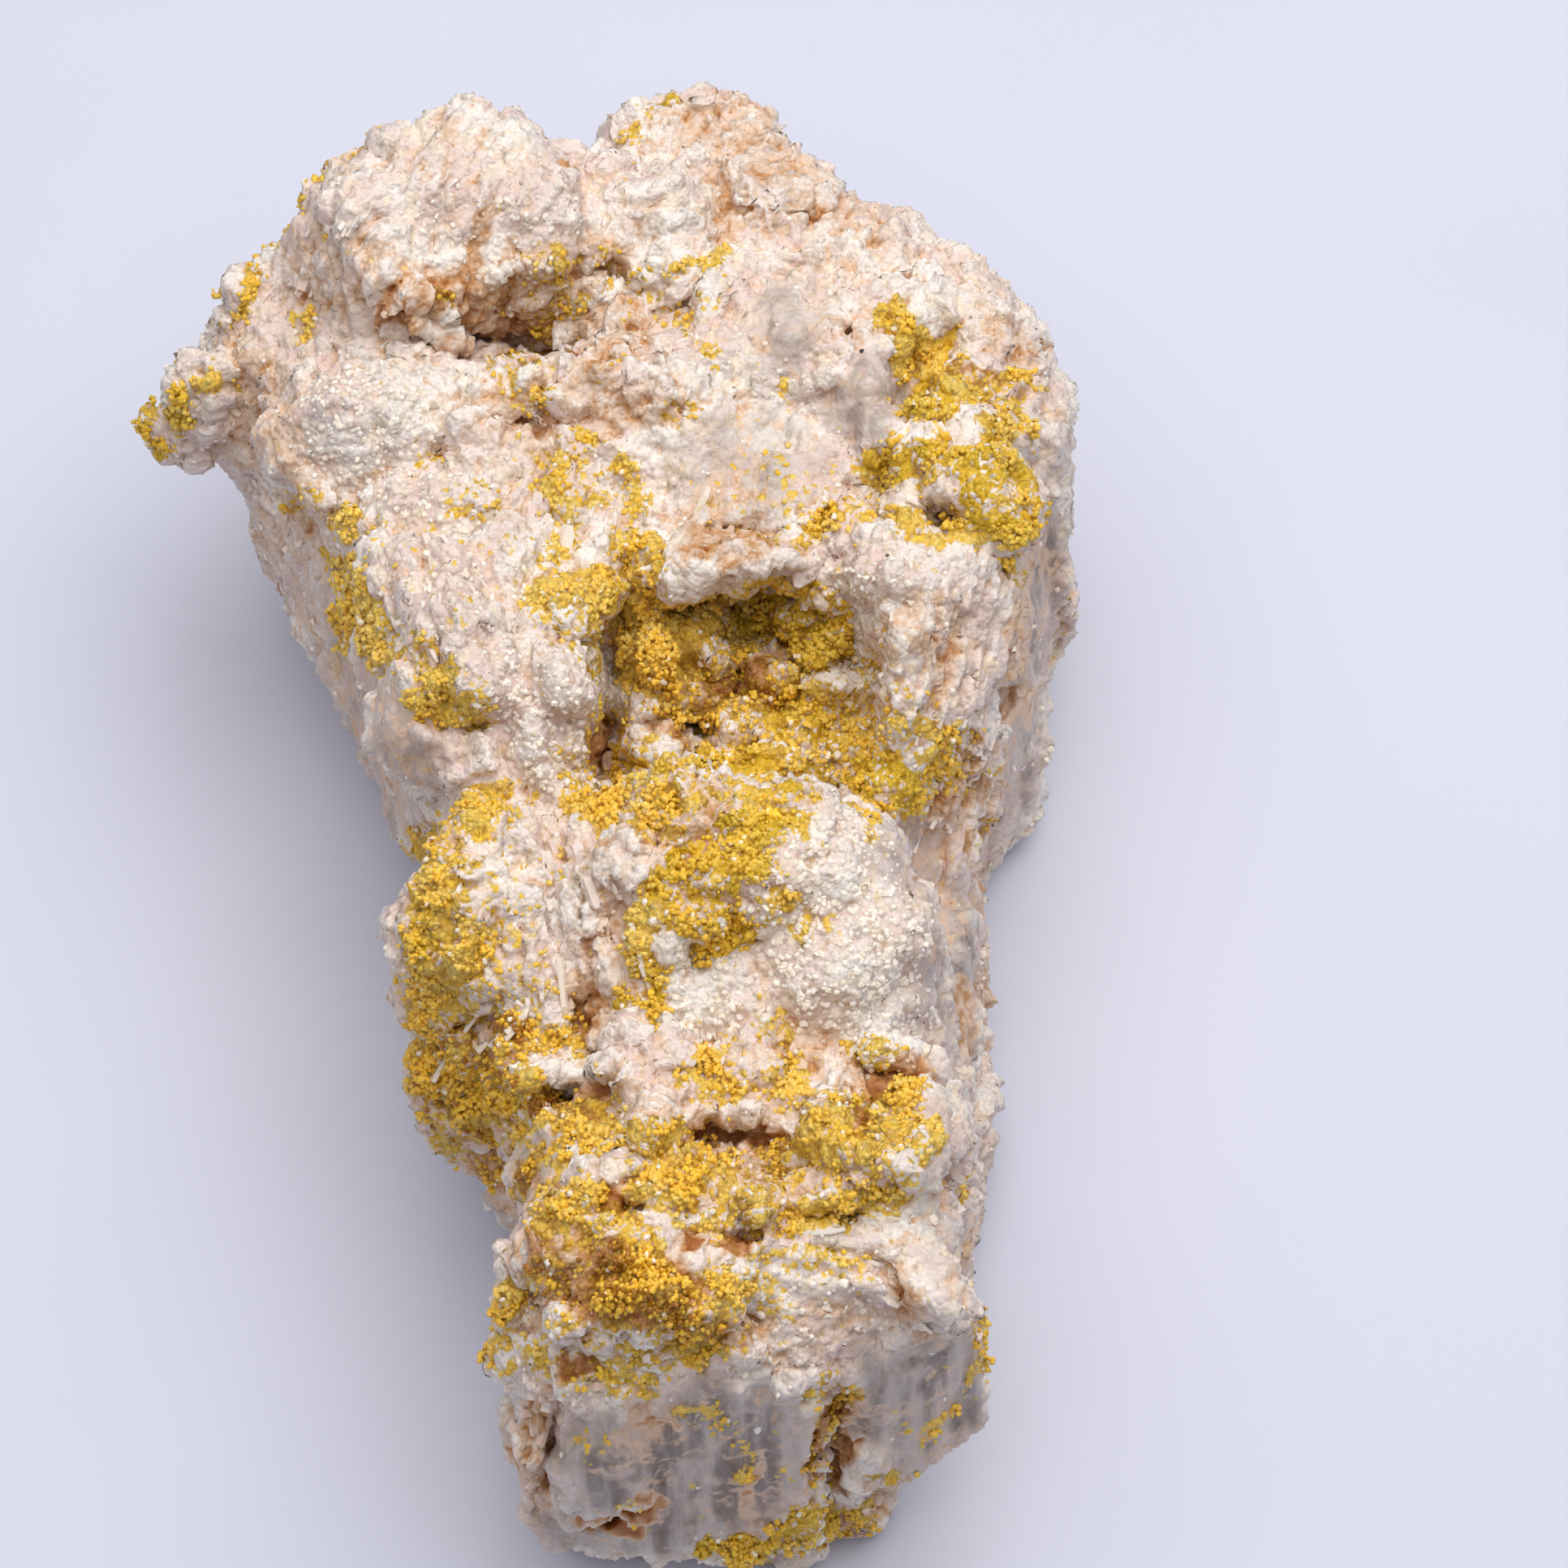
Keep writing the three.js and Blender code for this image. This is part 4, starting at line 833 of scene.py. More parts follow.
def habits(points, normals, seen):
    """How much of each habit and stain every point has: from the picture where seen, and else from noise."""
    u, v = picture(points)
    u = u + WARP_PX * noise(points, 3.1, 1) + FINE_WARP_PX * noise(points, 1.1, 2)
    v = v + WARP_PX * noise(points, 3.1, 3) + FINE_WARP_PX * noise(points, 1.1, 4)
    broken = fractal(points, 2.6, 11)
    pale_lumps = smoothstep(0.0, -0.35, 0.7 * noise(points, 2.1, 13) + 0.5 * noise(points, 1.0, 14))
    crusted = 1 - 0.85 * cover(u, v, BARE)
    hidden = hidden_habits(points, normals)
    found = {}
    bared = np.zeros(len(points))
    for name, kind in LISTED.items():
        here = cover(u, v, kind)
        if name == "mustard":
            found["dots"] = here * seen + 0.2 * hidden[name] * (1 - seen)
        if name in BROKEN_BY_LUMPS:
            here = smoothstep(0.12, 0.95, here * 1.15 + 0.55 * broken * smoothstep(0.0, 0.3, here))
            bared = np.maximum(bared, here * pale_lumps)
            here = here * (1 - BROKEN_BY_LUMPS[name] * pale_lumps) * crusted
        found[name] = here * seen + hidden[name] * (1 - seen)
    found["stain"] = np.maximum(found["stain"], 0.4 * bared * seen)
    return found


def sculpted(points, faces):
    """The rough rock with its larger faces, and the hollows and swells that the picture shows."""
    edges = edges_of(faces)
    points = softened(points, edges, 4)
    normals = normals_of(points, faces)
    seen = smoothstep(0.2, 0.6, softened(seen_from_eye(points, normals, faces), edges, 5))
    u, v = picture(points)
    slab = cover(u, v, SLAB) * seen
    foot = smoothstep(0.0, SOFT_FOOT, points[:, 2])
    height = relief(facets, points, BLOCKS) * (1 - 0.9 * slab) * foot
    moved = points + normals * height[:, None]
    u = u + DENT_WARP_PX * noise(points, 1.6, 5)
    v = v + DENT_WARP_PX * noise(points, 1.6, 6)
    depth = cover(u, v, DENTS, 0.7, 1.15) - cover(u, v, SWELLS, 0.4, 1.25)
    moved += LOOK * (depth * seen * foot)[:, None]
    moved[:, 2] = np.maximum(moved[:, 2], 0.0)
    return moved


def blade_rows(points, seen):
    """The relief of rows of thin blades, how much of it each point has, and which way its blades run."""
    u, v = picture(points)
    rows = np.zeros(len(points))
    weight = np.zeros(len(points))
    runs = np.zeros_like(points)
    for k, grain in enumerate(GRAINS):
        here = cover(u, v, {1.0: grain.patches}) * seen
        along = in_picture(grain.runs)
        some = here > 0.02
        thin = [Layer(0.6, 1.7, 60 + 7 * k), Layer(0.45, 0.8, 63 + 7 * k)]
        rows[some] += here[some] * relief(facets, stretched(points[some], along, ROW_STRETCH), thin)
        runs[some] += here[some, None] * along
        weight[some] += here[some]
    return rows / np.maximum(weight, 1), np.clip(weight, 0, 1), runs


def skin_height(points, found, rows):
    """How far each point stands out of the sculpted rock, by the habits found there."""
    lumps = relief(domes, points, LUMPS)
    crumbs = relief(domes, points, CRUMBS)
    height = relief(facets, points, CHIPS, lumps) + crumbs
    rows = rows + 0.35 * lumps + 0.7 * crumbs
    height = height * (1 - found["rows"]) + rows * found["rows"]
    grainy = relief(domes, points, SUGAR_BUMPS)
    height = height + (grainy - height) * found["sugar"] * 0.8
    flat = relief(facets, stretched(points, LEDGE_UP, LEDGE_STRETCH), LEDGES)
    height = height * (1 - found["slab"]) + flat * found["slab"]
    knobs = relief(domes, points, CRUST_KNOBS) + relief(facets, points, CRUST_CHIPS)
    yellow = np.maximum(found["mustard"], found["olive"])
    height = height + (knobs - height) * smoothstep(0.25, 0.75, yellow) * 0.85
    pocket = smoothstep(0.9, 1.3, found["stain"])
    return height * smoothstep(0.0, FLAT_FOOT, points[:, 2]) * (1 - 0.55 * pocket)


def rock():
    """The skin of rock and crusts: its points, quads, normals, what each point carries, and blades' ways."""
    solids = [node_mesh(MATRIX_NODE)] + [node_mesh(n, CRUST_GROWTH) for n in CRUST_NODES]
    points, faces = remeshed(*joined(solids), ROUGH_VOXEL)
    points, faces = remeshed(sculpted(points, faces), faces, VOXEL)
    edges = edges_of(faces)
    points = softened(points, edges, 1)
    normals = normals_of(points, faces)
    seen = softened(seen_from_eye(points, normals, faces), edges, 8)
    found = habits(points, normals, seen)
    rows, found["rows"], runs = blade_rows(points, seen)
    found["seen"] = seen
    moved = points + normals * skin_height(points, found, rows)[:, None]
    moved[:, 2] = np.maximum(moved[:, 2], 0.0)
    after = normals_of(moved, faces)
    near = softened(moved, edges, 9, 0.8)
    far = softened(near, edges, 28, 0.8)
    sunk = np.sum((near - moved) * after, axis=1)
    deeper = np.sum((far - near) * after, axis=1)
    # How sunk and how proud each point is. The materials use these to paint shade into hollows, bounce light
    # into yellow hollows and highlights onto proud bumps.
    found["hollow"] = np.maximum(smoothstep(-0.02, 0.38, sunk), 0.9 * smoothstep(-0.1, 0.6, deeper))
    found["proud"] = smoothstep(0.02, 0.4, -sunk) * smoothstep(0.5, -0.2, deeper)
    return moved, faces, after, found, runs


# ---------------------------------------------------------------- crystals

FULL_TURN = 2 * math.pi
ANY_SPIN = 6.28
ABOVE_FLOOR = 0.02
ABOVE_FOOT = 0.5
KNOT_GRAINS = 7
KNOTTED_SHARE = 0.4
CLEAR_SHARE = 0.03
GRAIN_RISE = 0.06
BLADE_SINK = 0.3
SUGAR_SINK = 0.05
BLADE_GROUP = 3.4


def ringed(rings, sides=5):
    """A closed-topped crystal with no foot from rings of height and radius: points and triangles."""
    turns = [FULL_TURN * k / sides for k in range(sides)]
    points = [(r * math.cos(turn), r * math.sin(turn), z) for z, r in rings for turn in turns]
    faces = []
    for ring in range(len(rings) - 1):
        for k in range(sides):
            a, b = ring * sides + k, ring * sides + (k + 1) % sides
            faces += [(a, b, b + sides), (a, b + sides, a + sides)]
    top = (len(rings) - 1) * sides
    faces += [(top, top + k, top + k + 1) for k in range(1, sides - 1)]
    return np.array(points), np.array(faces)


def tablet():
    """A flat blade with a chisel top, its length up and its thickness along x."""
    outline = [(-0.5, -0.5), (0.5, -0.5), (0.5, 0.3), (0.22, 0.5), (-0.3, 0.5), (-0.5, 0.36)]
    points = [(side * 0.5 * (0.8 if z > 0.4 else 1), y, z) for side in (1, -1) for y, z in outline]
    faces = []
    for k in range(6):
        a, b = k, (k + 1) % 6
        faces += [(a, a + 6, b), (b, a + 6, b + 6)]
    for k in range(1, 5):
        faces += [(0, k, k + 1), (6, 6 + k + 1, 6 + k)]
    return np.array(points), np.array(faces)


# A stubby crystal that narrows to a flat top, and a glassy one worn to a rounded block.
BEAD = ringed([(-0.5, 1.0), (0.5, 0.6)])
NUGGET = ringed([(-0.5, 0.8), (0.1, 1.0), (0.5, 0.5)])
TABLET = tablet()


def unit(rows):
    return rows / np.linalg.norm(rows, axis=-1)[..., None]


def frames(up, side, spin):
    """Turned axes for each crystal: its own z along up, its x near side, turned by spin about z."""
    z = unit(up)
    x = side - z * np.sum(side * z, axis=1)[:, None]
    length = np.linalg.norm(x, axis=1)
    other = np.where(np.abs(z[:, :1]) < 0.8, [[1.0, 0, 0]], [[0, 1.0, 0]])
    other = other - z * np.sum(other * z, axis=1)[:, None]
    x = unit(np.where(length[:, None] > 0.05, x, other))
    y = np.cross(z, x)
    c, s = np.cos(spin)[:, None], np.sin(spin)[:, None]
    return np.stack([c * x + s * y, c * y - s * x, z], axis=2)


def crystal_mesh(name, shape, places, axes, sizes, smooth=False):
    """Copies of a shape as one mesh, and which copy each of its points is of."""
    points, faces = shape
    scaled = points[None, :, :] * sizes[:, None, :]
    placed = np.einsum("nij,nkj->nki", axes, scaled) + places[:, None, :]
    numbered = faces[None, :, :] + (np.arange(len(places)) * len(points))[:, None, None]
    placed = placed.reshape(-1, 3)
    placed[:, 2] = np.maximum(placed[:, 2], ABOVE_FLOOR)
    made = mesh_object(name, placed, numbered.reshape(-1, 3), smooth)
    return made, np.repeat(np.arange(len(places)), len(points))


class Ground:
    """The skin as a place to put crystals: spots picked over its area with what each carries."""

    def __init__(self, points, quads, normals, found, runs):
        self.points = points
        self.normals = normals
        self.found = found
        self.runs = runs
        self.faces = halved(quads)
        a, b, c = (points[self.faces[:, k]] for k in range(3))
        self.area = np.linalg.norm(np.cross(b - a, c - a), axis=1) / 2

    def spots(self, rng, count, density):
        """Count spots, more of them where density, one number a point, is high, and none on the underside."""
        at_face = density[self.faces].mean(axis=1) * (self.points[self.faces[:, 0], 2] > ABOVE_FOOT)
        weight = self.area * np.clip(at_face, 0, None)
        chosen = rng.choice(len(self.faces), size=count, p=weight / weight.sum())
        share = rng.random((count, 2))
        flip = share.sum(axis=1) > 1
        share[flip] = 1 - share[flip]
        corner = self.faces[chosen]
        share = np.stack([1 - share.sum(axis=1), share[:, 0], share[:, 1]], axis=1)

        def mixed(values):
            shares = share if values.ndim == 1 else share[:, :, None]
            return np.sum(values[corner] * shares, axis=1)

        carried = {name: mixed(values) for name, values in self.found.items()}
        return mixed(self.points), mixed(self.normals), carried, mixed(self.runs)


def scattered(rng, count, spread):
    return rng.normal(size=(count, 3)) * spread


def pyromorphite(ground, name, rng, count, density):
    """A crust of stubby grains: small knots of them and a loose scatter that thins out at the edges."""
    density = density * smoothstep(-0.35, 0.25, noise(ground.points, 1.3, 93))
    knots = int(count * KNOTTED_SHARE / KNOT_GRAINS)
    centres, up, found, _ = ground.spots(rng, knots, density**2)
    radius = rng.uniform(0.2, 0.6, knots)
    out = unit(up[:, None, :] * 0.8 + rng.normal(size=(knots, KNOT_GRAINS, 3)) * 0.7)
    in_knots = (centres[:, None, :] + out * radius[:, None, None]).reshape(-1, 3)
    at, normal, more, _ = ground.spots(rng, count - knots * KNOT_GRAINS, density)
    places = np.concatenate([in_knots, at + normal * GRAIN_RISE])
    out = np.concatenate([out.reshape(-1, 3), normal])
    found = {key: np.concatenate([np.repeat(found[key], KNOT_GRAINS), more[key]]) for key in more}
    total = len(places)
    lean = out + scattered(rng, total, 0.45)
    axes = frames(lean, scattered(rng, total, 1), rng.uniform(0, ANY_SPIN, total))
    wide = 0.11 + 0.11 * rng.random(total) ** 1.5
    sizes = np.stack([wide, wide, wide * rng.uniform(1.2, 1.9, total)], axis=1)
    made, owner = crystal_mesh(name, BEAD, places, axes, sizes, smooth=True)
    patchy = 0.3 * noise(places, 1.6, 91) + 0.25 * noise(places, 4.5, 92)
    tone = rng.random(total) * 0.4 + 0.35 + patchy - 0.405 * found["stain"]
    give(made, "tone", np.clip(tone, 0, 1)[owner])
    give(made, "olive", np.clip(found["olive"] + rng.normal(size=total) * 0.2, 0, 1)[owner])
    give(made, "clear", (rng.random(total) < CLEAR_SHARE).astype(float)[owner])
    # The hollow share feeds the painted bounce light that brightens grains in hollows.
    give(made, "hollow", np.clip(found["hollow"], 0, 1)[owner])
    return made


def finish_crystals(made, rng, found, owner, count):
    give(made, "tone", rng.random(count)[owner])
    # The tint is real stain with painted shade in the hollows added.
    give(made, "stain", np.clip(found["stain"] * 0.7 + found["hollow"] * 0.3, 0, 1)[owner])
    dusted = np.maximum(found["mustard"], found["olive"]) * (rng.random(count) < 0.5)
    give(made, "yellow", np.clip(dusted, 0, 1)[owner])


def blades(ground, name, rng, count, density):
    """Thin baryte blades bedded in the skin, parallel where the rock grew in rows."""
    at, normal, found, runs = ground.spots(rng, count, density)
    _, _, number = cells(at, BLADE_GROUP, 81)
    has_row = (np.linalg.norm(runs, axis=1) > 0.2)[:, None]
    side = np.where(has_row, np.cross(runs, normal), tilts(number)) + scattered(rng, count, 0.2)
    lean = np.where(has_row, runs + normal * 0.1, tilts(np.mod(number * 3.3, 1)) + normal * 0.25)
    axes = frames(lean + scattered(rng, count, 0.15), side, np.zeros(count))
    long = rng.uniform(0.7, 1.8, count)
    sizes = np.stack([rng.uniform(0.14, 0.3, count), rng.uniform(0.3, 0.6, count), long], axis=1)
    made, owner = crystal_mesh(name, TABLET, at - normal * BLADE_SINK, axes, sizes)
    finish_crystals(made, rng, found, owner, count)
    return made


def sugar(ground, name, rng, count, density):
    """Small rounded clear crystals lying every way."""
    at, normal, found, _ = ground.spots(rng, count, density)
    lean = normal + scattered(rng, count, 0.8)
    axes = frames(lean, scattered(rng, count, 1), rng.uniform(0, ANY_SPIN, count))
    wide = 0.14 + 0.14 * rng.random(count) ** 1.7
    sizes = np.stack([wide, wide * rng.uniform(0.7, 1.0, count), wide * rng.uniform(1.1, 2.2, count)], axis=1)
    made, owner = crystal_mesh(name, NUGGET, at - normal * SUGAR_SINK, axes, sizes)
    finish_crystals(made, rng, found, owner, count)
    return made


def single_blades(ground, name, rng):
    """The blades that the picture shows one by one, each where its own spot meets the rock."""
    tree = BVHTree.FromPolygons(ground.points.tolist(), ground.faces.tolist())
    places, axes, sizes = [], [], []
    for blade in BLADES:
        ray = unit(LOOK * FOCAL_PX + RIGHT * (blade.u - HALF_PX) - UP * (blade.v - HALF_PX))
        place, normal, _, _ = tree.ray_cast(Vector(EYE), Vector(ray))
        along = in_picture(blade.turn)
        facing = 2 * np.array(normal) - ray
        thin = np.cross(along, ray) + 0.15 * facing if blade.edge else facing
        sink = 0.4 * blade.wide if blade.edge else 0.25 * blade.thick
        places.append(np.array(place) - sink * np.array(normal))
        axes.append(frames(along[None, :], thin[None, :], np.zeros(1))[0])
        sizes.append((blade.thick, blade.wide, blade.long))
    count = len(BLADES)
    made, owner = crystal_mesh(name, TABLET, np.array(places), np.array(axes), np.array(sizes))
    clean = {key: np.zeros(count) for key in ("stain", "hollow", "mustard", "olive")}
    finish_crystals(made, rng, clean, owner, count)
    return made


# ---------------------------------------------------------------- materials

def linear(*seen):
    """A colour seen as 0 to 255 on screen, as the shader wants it."""
    shares = [c / 255 for c in seen]
    return tuple(c / 12.92 if c <= 0.04045 else ((c + 0.055) / 1.055) ** 2.4 for c in shares) + (1.0,)


NOISE_ROUGHNESS = 0.55
Crystals = namedtuple("Crystals", "height out one two three")


class Wiring:
    """A material's node tree, with short calls for the nodes used here."""

    def __init__(self, name):
        self.material = bpy.data.materials.new(name)
        self.material.use_nodes = True
        self.nodes = self.material.node_tree.nodes
        self.links = self.material.node_tree.links
        self.shader = self.nodes["Principled BSDF"]
        self.place = self.nodes.new("ShaderNodeTexCoord").outputs["Object"]

    def plug(self, value, socket):
        if isinstance(value, bpy.types.NodeSocket):
            self.links.new(value, socket)
        else:
            socket.default_value = value

    def carried(self, name):
        node = self.nodes.new("ShaderNodeAttribute")
        node.attribute_name = name
        return node.outputs["Fac"]

    def noise(self, size_mm, detail=3.0, at=None):
        node = self.nodes.new("ShaderNodeTexNoise")
        node.inputs["Scale"].default_value = 1000.0 / size_mm
        node.inputs["Detail"].default_value = detail
        node.inputs["Roughness"].default_value = NOISE_ROUGHNESS
        self.links.new(at or self.place, node.inputs["Vector"])
        return node.outputs["Fac"]

    def wavering(self, value, size_mm, by):
        """A value moved up and down by noise."""
        swing = self.math("SUBTRACT", self.noise(size_mm), 0.5)
        return self.math("ADD", value, self.math("MULTIPLY", swing, by))

    def crystals(self, size_mm):
        """A surface of small crystals: the height of their tilted faces in sizes, the way out from each one's
        middle, and three numbers that are its own."""
        node = self.nodes.new("ShaderNodeTexVoronoi")
        node.inputs["Scale"].default_value = 1000.0 / size_mm
        self.links.new(self.place, node.inputs["Vector"])
        away = self.vector("SUBTRACT", self.place, node.outputs["Position"])
        slope = self.vector("SUBTRACT", node.outputs["Color"], (0.5, 0.5, 0.5))
        height = self.math("MULTIPLY", self.vector("DOT_PRODUCT", away, slope), 1000.0 / size_mm)
        numbers = self.nodes.new("ShaderNodeSeparateColor")
        self.links.new(node.outputs["Color"], numbers.inputs[0])
        return Crystals(height, node.outputs["Distance"], *numbers.outputs)

    def blend(self, *terms):
        """The sum of pairs of a value and its weight."""
        total = 0.0
        for value, weight in terms:
            total = self.math("ADD", total, self.math("MULTIPLY", value, weight))
        return total

    def ramp(self, value, low, high, out_low=0.0, out_high=1.0):
        node = self.nodes.new("ShaderNodeMapRange")
        node.interpolation_type = "SMOOTHSTEP"
        numbers = {"From Min": low, "From Max": high, "To Min": out_low, "To Max": out_high}
        for name, number in numbers.items():
            node.inputs[name].default_value = number
        self.links.new(value, node.inputs["Value"])
        return node.outputs["Result"]

    def worked(self, kind, operation, a, b):
        node = self.nodes.new(kind)
        node.operation = operation
        self.plug(a, node.inputs[0])
        self.plug(b, node.inputs[1])
        return node.outputs

    def math(self, operation, a, b=0.0):
        return self.worked("ShaderNodeMath", operation, a, b)[0]

    def vector(self, operation, a, b):
        outputs = self.worked("ShaderNodeVectorMath", operation, a, b)
        return outputs["Value" if operation == "DOT_PRODUCT" else "Vector"]

    def mix(self, share, a, b):
        node = self.nodes.new("ShaderNodeMix")
        node.data_type = "RGBA"
        self.plug(share, node.inputs["Factor"])
        self.plug(a, node.inputs[6])
        self.plug(b, node.inputs[7])
        return node.outputs[2]

    def bump(self, height, depth_mm, strength=1.0, under=None):
        node = self.nodes.new("ShaderNodeBump")
        node.inputs["Distance"].default_value = depth_mm * MM
        node.inputs["Strength"].default_value = strength
        self.links.new(height, node.inputs["Height"])
        if under is not None:
            self.links.new(under, node.inputs["Normal"])
        return node.outputs["Normal"]

    def finish(self, colour, roughness, normal):
        self.links.new(colour, self.shader.inputs["Base Color"])
        self.links.new(roughness, self.shader.inputs["Roughness"])
        self.links.new(normal, self.shader.inputs["Normal"])
        return self.material


WHITE = linear(250, 242, 234)
PINK = linear(233, 208, 197)
CREAM = linear(244, 226, 198)
GREY = linear(198, 185, 178)
SHALE = linear(118, 102, 93)
PEACH = linear(228, 197, 170)
TAN = linear(202, 148, 96)
BROWN = linear(164, 97, 42)
MUSTARD_TONE = linear(242, 195, 62)
BRIGHT_TONE = linear(242, 210, 112)
OLIVE_TONE = linear(228, 185, 44)
PALE_OLIVE_TONE = linear(226, 192, 74)
DEEP_TONE = linear(164, 108, 28)
# Painted bounce light: a brighter yellow for the crusts in hollows.
PAINTED_BOUNCE_TONE = linear(255, 214, 62)
CLEAR_TONE = linear(248, 236, 218)
SKIN_CARRIES = ("slab", "stain", "hollow", "proud", "mustard", "olive", "dots")
COARSE_CRYSTALS = 0.75
SMALL_CRYSTALS = 0.33
STREAKED = (1.0, 1.0, 0.14)


def soften(w, share, scale_mm, reach):
    """Lets light travel a little way under the surface."""
    w.shader.subsurface_method = "BURLEY"
    w.shader.inputs["Subsurface Weight"].default_value = share
    w.shader.inputs["Subsurface Radius"].default_value = reach
    w.shader.inputs["Subsurface Scale"].default_value = scale_mm * MM


def slab_colour(w):
    """Grey cleavage faces, streaked up and down by the edges of their layers."""
    tall = w.vector("MULTIPLY", w.place, STREAKED)
    streak = w.noise(1.6, detail=5, at=tall)
    thread = w.noise(0.5, detail=3, at=tall)
    grey = w.mix(w.ramp(streak, 0.36, 0.62), SHALE, GREY)
    grey = w.mix(w.ramp(w.noise(2.4, detail=4), 0.5, 0.7, 0.0, 0.7), grey, PINK)
    return w.mix(w.ramp(thread, 0.38, 0.28, 0.0, 0.5), grey, TAN), thread


def rock_colour(w, coarse, small):
    """Pale baryte, stained in its seams, under a dust of pyromorphite; with painted shade in its hollows and
    between its small crystals, painted highlights on proud bumps and painted bounce light in its yellow
    hollows.
    """
    slab, stain, hollow, proud, mustard, olive, dots = (w.carried(name) for name in SKIN_CARRIES)
    fine = w.noise(0.9, detail=5)
    pale = w.mix(w.ramp(w.noise(5.0, detail=4), 0.36, 0.6), WHITE, PINK)
    pale = w.mix(w.ramp(coarse.one, 0.55, 1.0, 0.0, 0.7), pale, CREAM)
    pale = w.mix(w.ramp(small.one, 0.6, 1.0, 0.0, 0.25), pale, GREY)
    # Painted highlight: bumps that stand proud are made whiter.
    pale = w.mix(w.math("MULTIPLY", proud, 0.7), pale, WHITE)
    grey, thread = slab_colour(w)
    pale = w.mix(w.math("MULTIPLY", slab, 0.95), pale, grey)
    # Painted shade in the gaps between the small crystals.
    gap_shade = w.ramp(w.blend((coarse.out, 0.7), (small.out, 0.5)), 0.45, 0.8)
    off_line = w.math("ABSOLUTE", w.math("SUBTRACT", w.noise(6.0, detail=4), 0.5))
    vein = w.ramp(off_line, 0.0, 0.035, 1.0, 0.0)
    # Real stain and veins, with painted shade in the hollows and crystal gaps, and less of it on proud bumps.
    seam_and_shade = w.blend((stain, 0.95), (hollow, 0.65), (vein, 0.3), (gap_shade, 0.14), (fine, 1.1), (coarse.two, 0.14))
    seam_and_shade = w.math("SUBTRACT", w.blend((seam_and_shade, 1.0), (proud, -0.3)), 0.76)
    tan = w.mix(w.ramp(seam_and_shade, 0.05, 0.5), pale, PEACH)
    tan = w.mix(w.ramp(seam_and_shade, 0.45, 0.9), tan, TAN)
    tan = w.mix(w.ramp(seam_and_shade, 0.9, 1.35), tan, BROWN)
    crust = w.math("MAXIMUM", mustard, olive)
    chance = w.math("SUBTRACT", w.blend((crust, 0.8), (dots, 0.55), (w.noise(1.4), 0.5)), 0.3)
    grains = w.ramp(w.math("SUBTRACT", chance, small.two), -0.06, 0.06)
    knots = w.ramp(w.math("SUBTRACT", w.math("SUBTRACT", chance, 0.15), coarse.three), -0.05, 0.1)
    gold = w.mix(small.three, MUSTARD_TONE, BRIGHT_TONE)
    gold = w.mix(w.ramp(olive, 0.25, 0.85), gold, OLIVE_TONE)
    # Painted bounce light: the yellow in the hollows is made brighter.
    gold = w.mix(w.ramp(hollow, 0.1, 0.7, 0.0, 0.95), gold, PAINTED_BOUNCE_TONE)
    # Painted shade between the crystals, with the real stain, darkens the yellow.
    stain_and_gap_shade = w.blend((gap_shade, 0.45), (stain, 0.8))
    gold = w.mix(w.ramp(stain_and_gap_shade, 0.3, 1.2, 0.0, 0.85), gold, DEEP_TONE)
    yellow = w.math("MAXIMUM", grains, knots)
    return w.mix(yellow, tan, gold), yellow, fine, thread, slab


def skin_material():
    w = Wiring("baryte_skin")
    coarse = w.crystals(COARSE_CRYSTALS)
    small = w.crystals(SMALL_CRYSTALS)
    colour, yellow, fine, thread, slab = rock_colour(w, coarse, small)
    soften(w, 0.35, 0.6, (1.0, 0.8, 0.64))
    rough = w.math("SUBTRACT", 1.0, w.math("MULTIPLY", slab, 0.8))
    faces = w.blend((coarse.height, 1.0), (coarse.out, -0.5))
    normal = w.bump(w.math("MULTIPLY", faces, rough), 0.32)
    faces = w.blend((small.height, 1.0), (small.out, -0.8))
    beads = w.math("MULTIPLY", faces, w.blend((rough, 1.0), (yellow, 1.2)))
    normal = w.bump(beads, 0.12, 1.0, normal)
    normal = w.bump(w.math("MULTIPLY", fine, rough), 0.12, 0.8, normal)
    normal = w.bump(w.math("MULTIPLY", thread, slab), 0.25, 0.8, normal)
    return w.finish(colour, w.ramp(fine, 0.3, 0.7, 0.34, 0.6), normal)


def crystal_material(name, tint, gloss):
    """White baryte crystals tinted here and there, as rough as gloss where they are smoothest."""
    w = Wiring(name)
    pale = w.mix(w.carried("tone"), WHITE, tint)
    # The stain share it carries also holds painted shade from the hollows.
    stain = w.wavering(w.carried("stain"), 1.2, 0.6)
    tinted = w.mix(w.ramp(stain, 0.1, 0.7, 0.0, 0.9), pale, PEACH)
    tinted = w.mix(w.ramp(stain, 0.75, 1.3, 0.0, 0.8), tinted, TAN)
    yellow = w.wavering(w.carried("yellow"), 0.6, 0.8)
    colour = w.mix(w.ramp(yellow, 0.55, 0.95), tinted, MUSTARD_TONE)
    soften(w, 0.3, 0.5, (1.0, 0.8, 0.65))
    roughness = w.ramp(w.noise(0.5), 0.3, 0.7, gloss, 0.45)
    return w.finish(colour, roughness, w.bump(w.noise(0.3, detail=4), 0.05, 0.6))


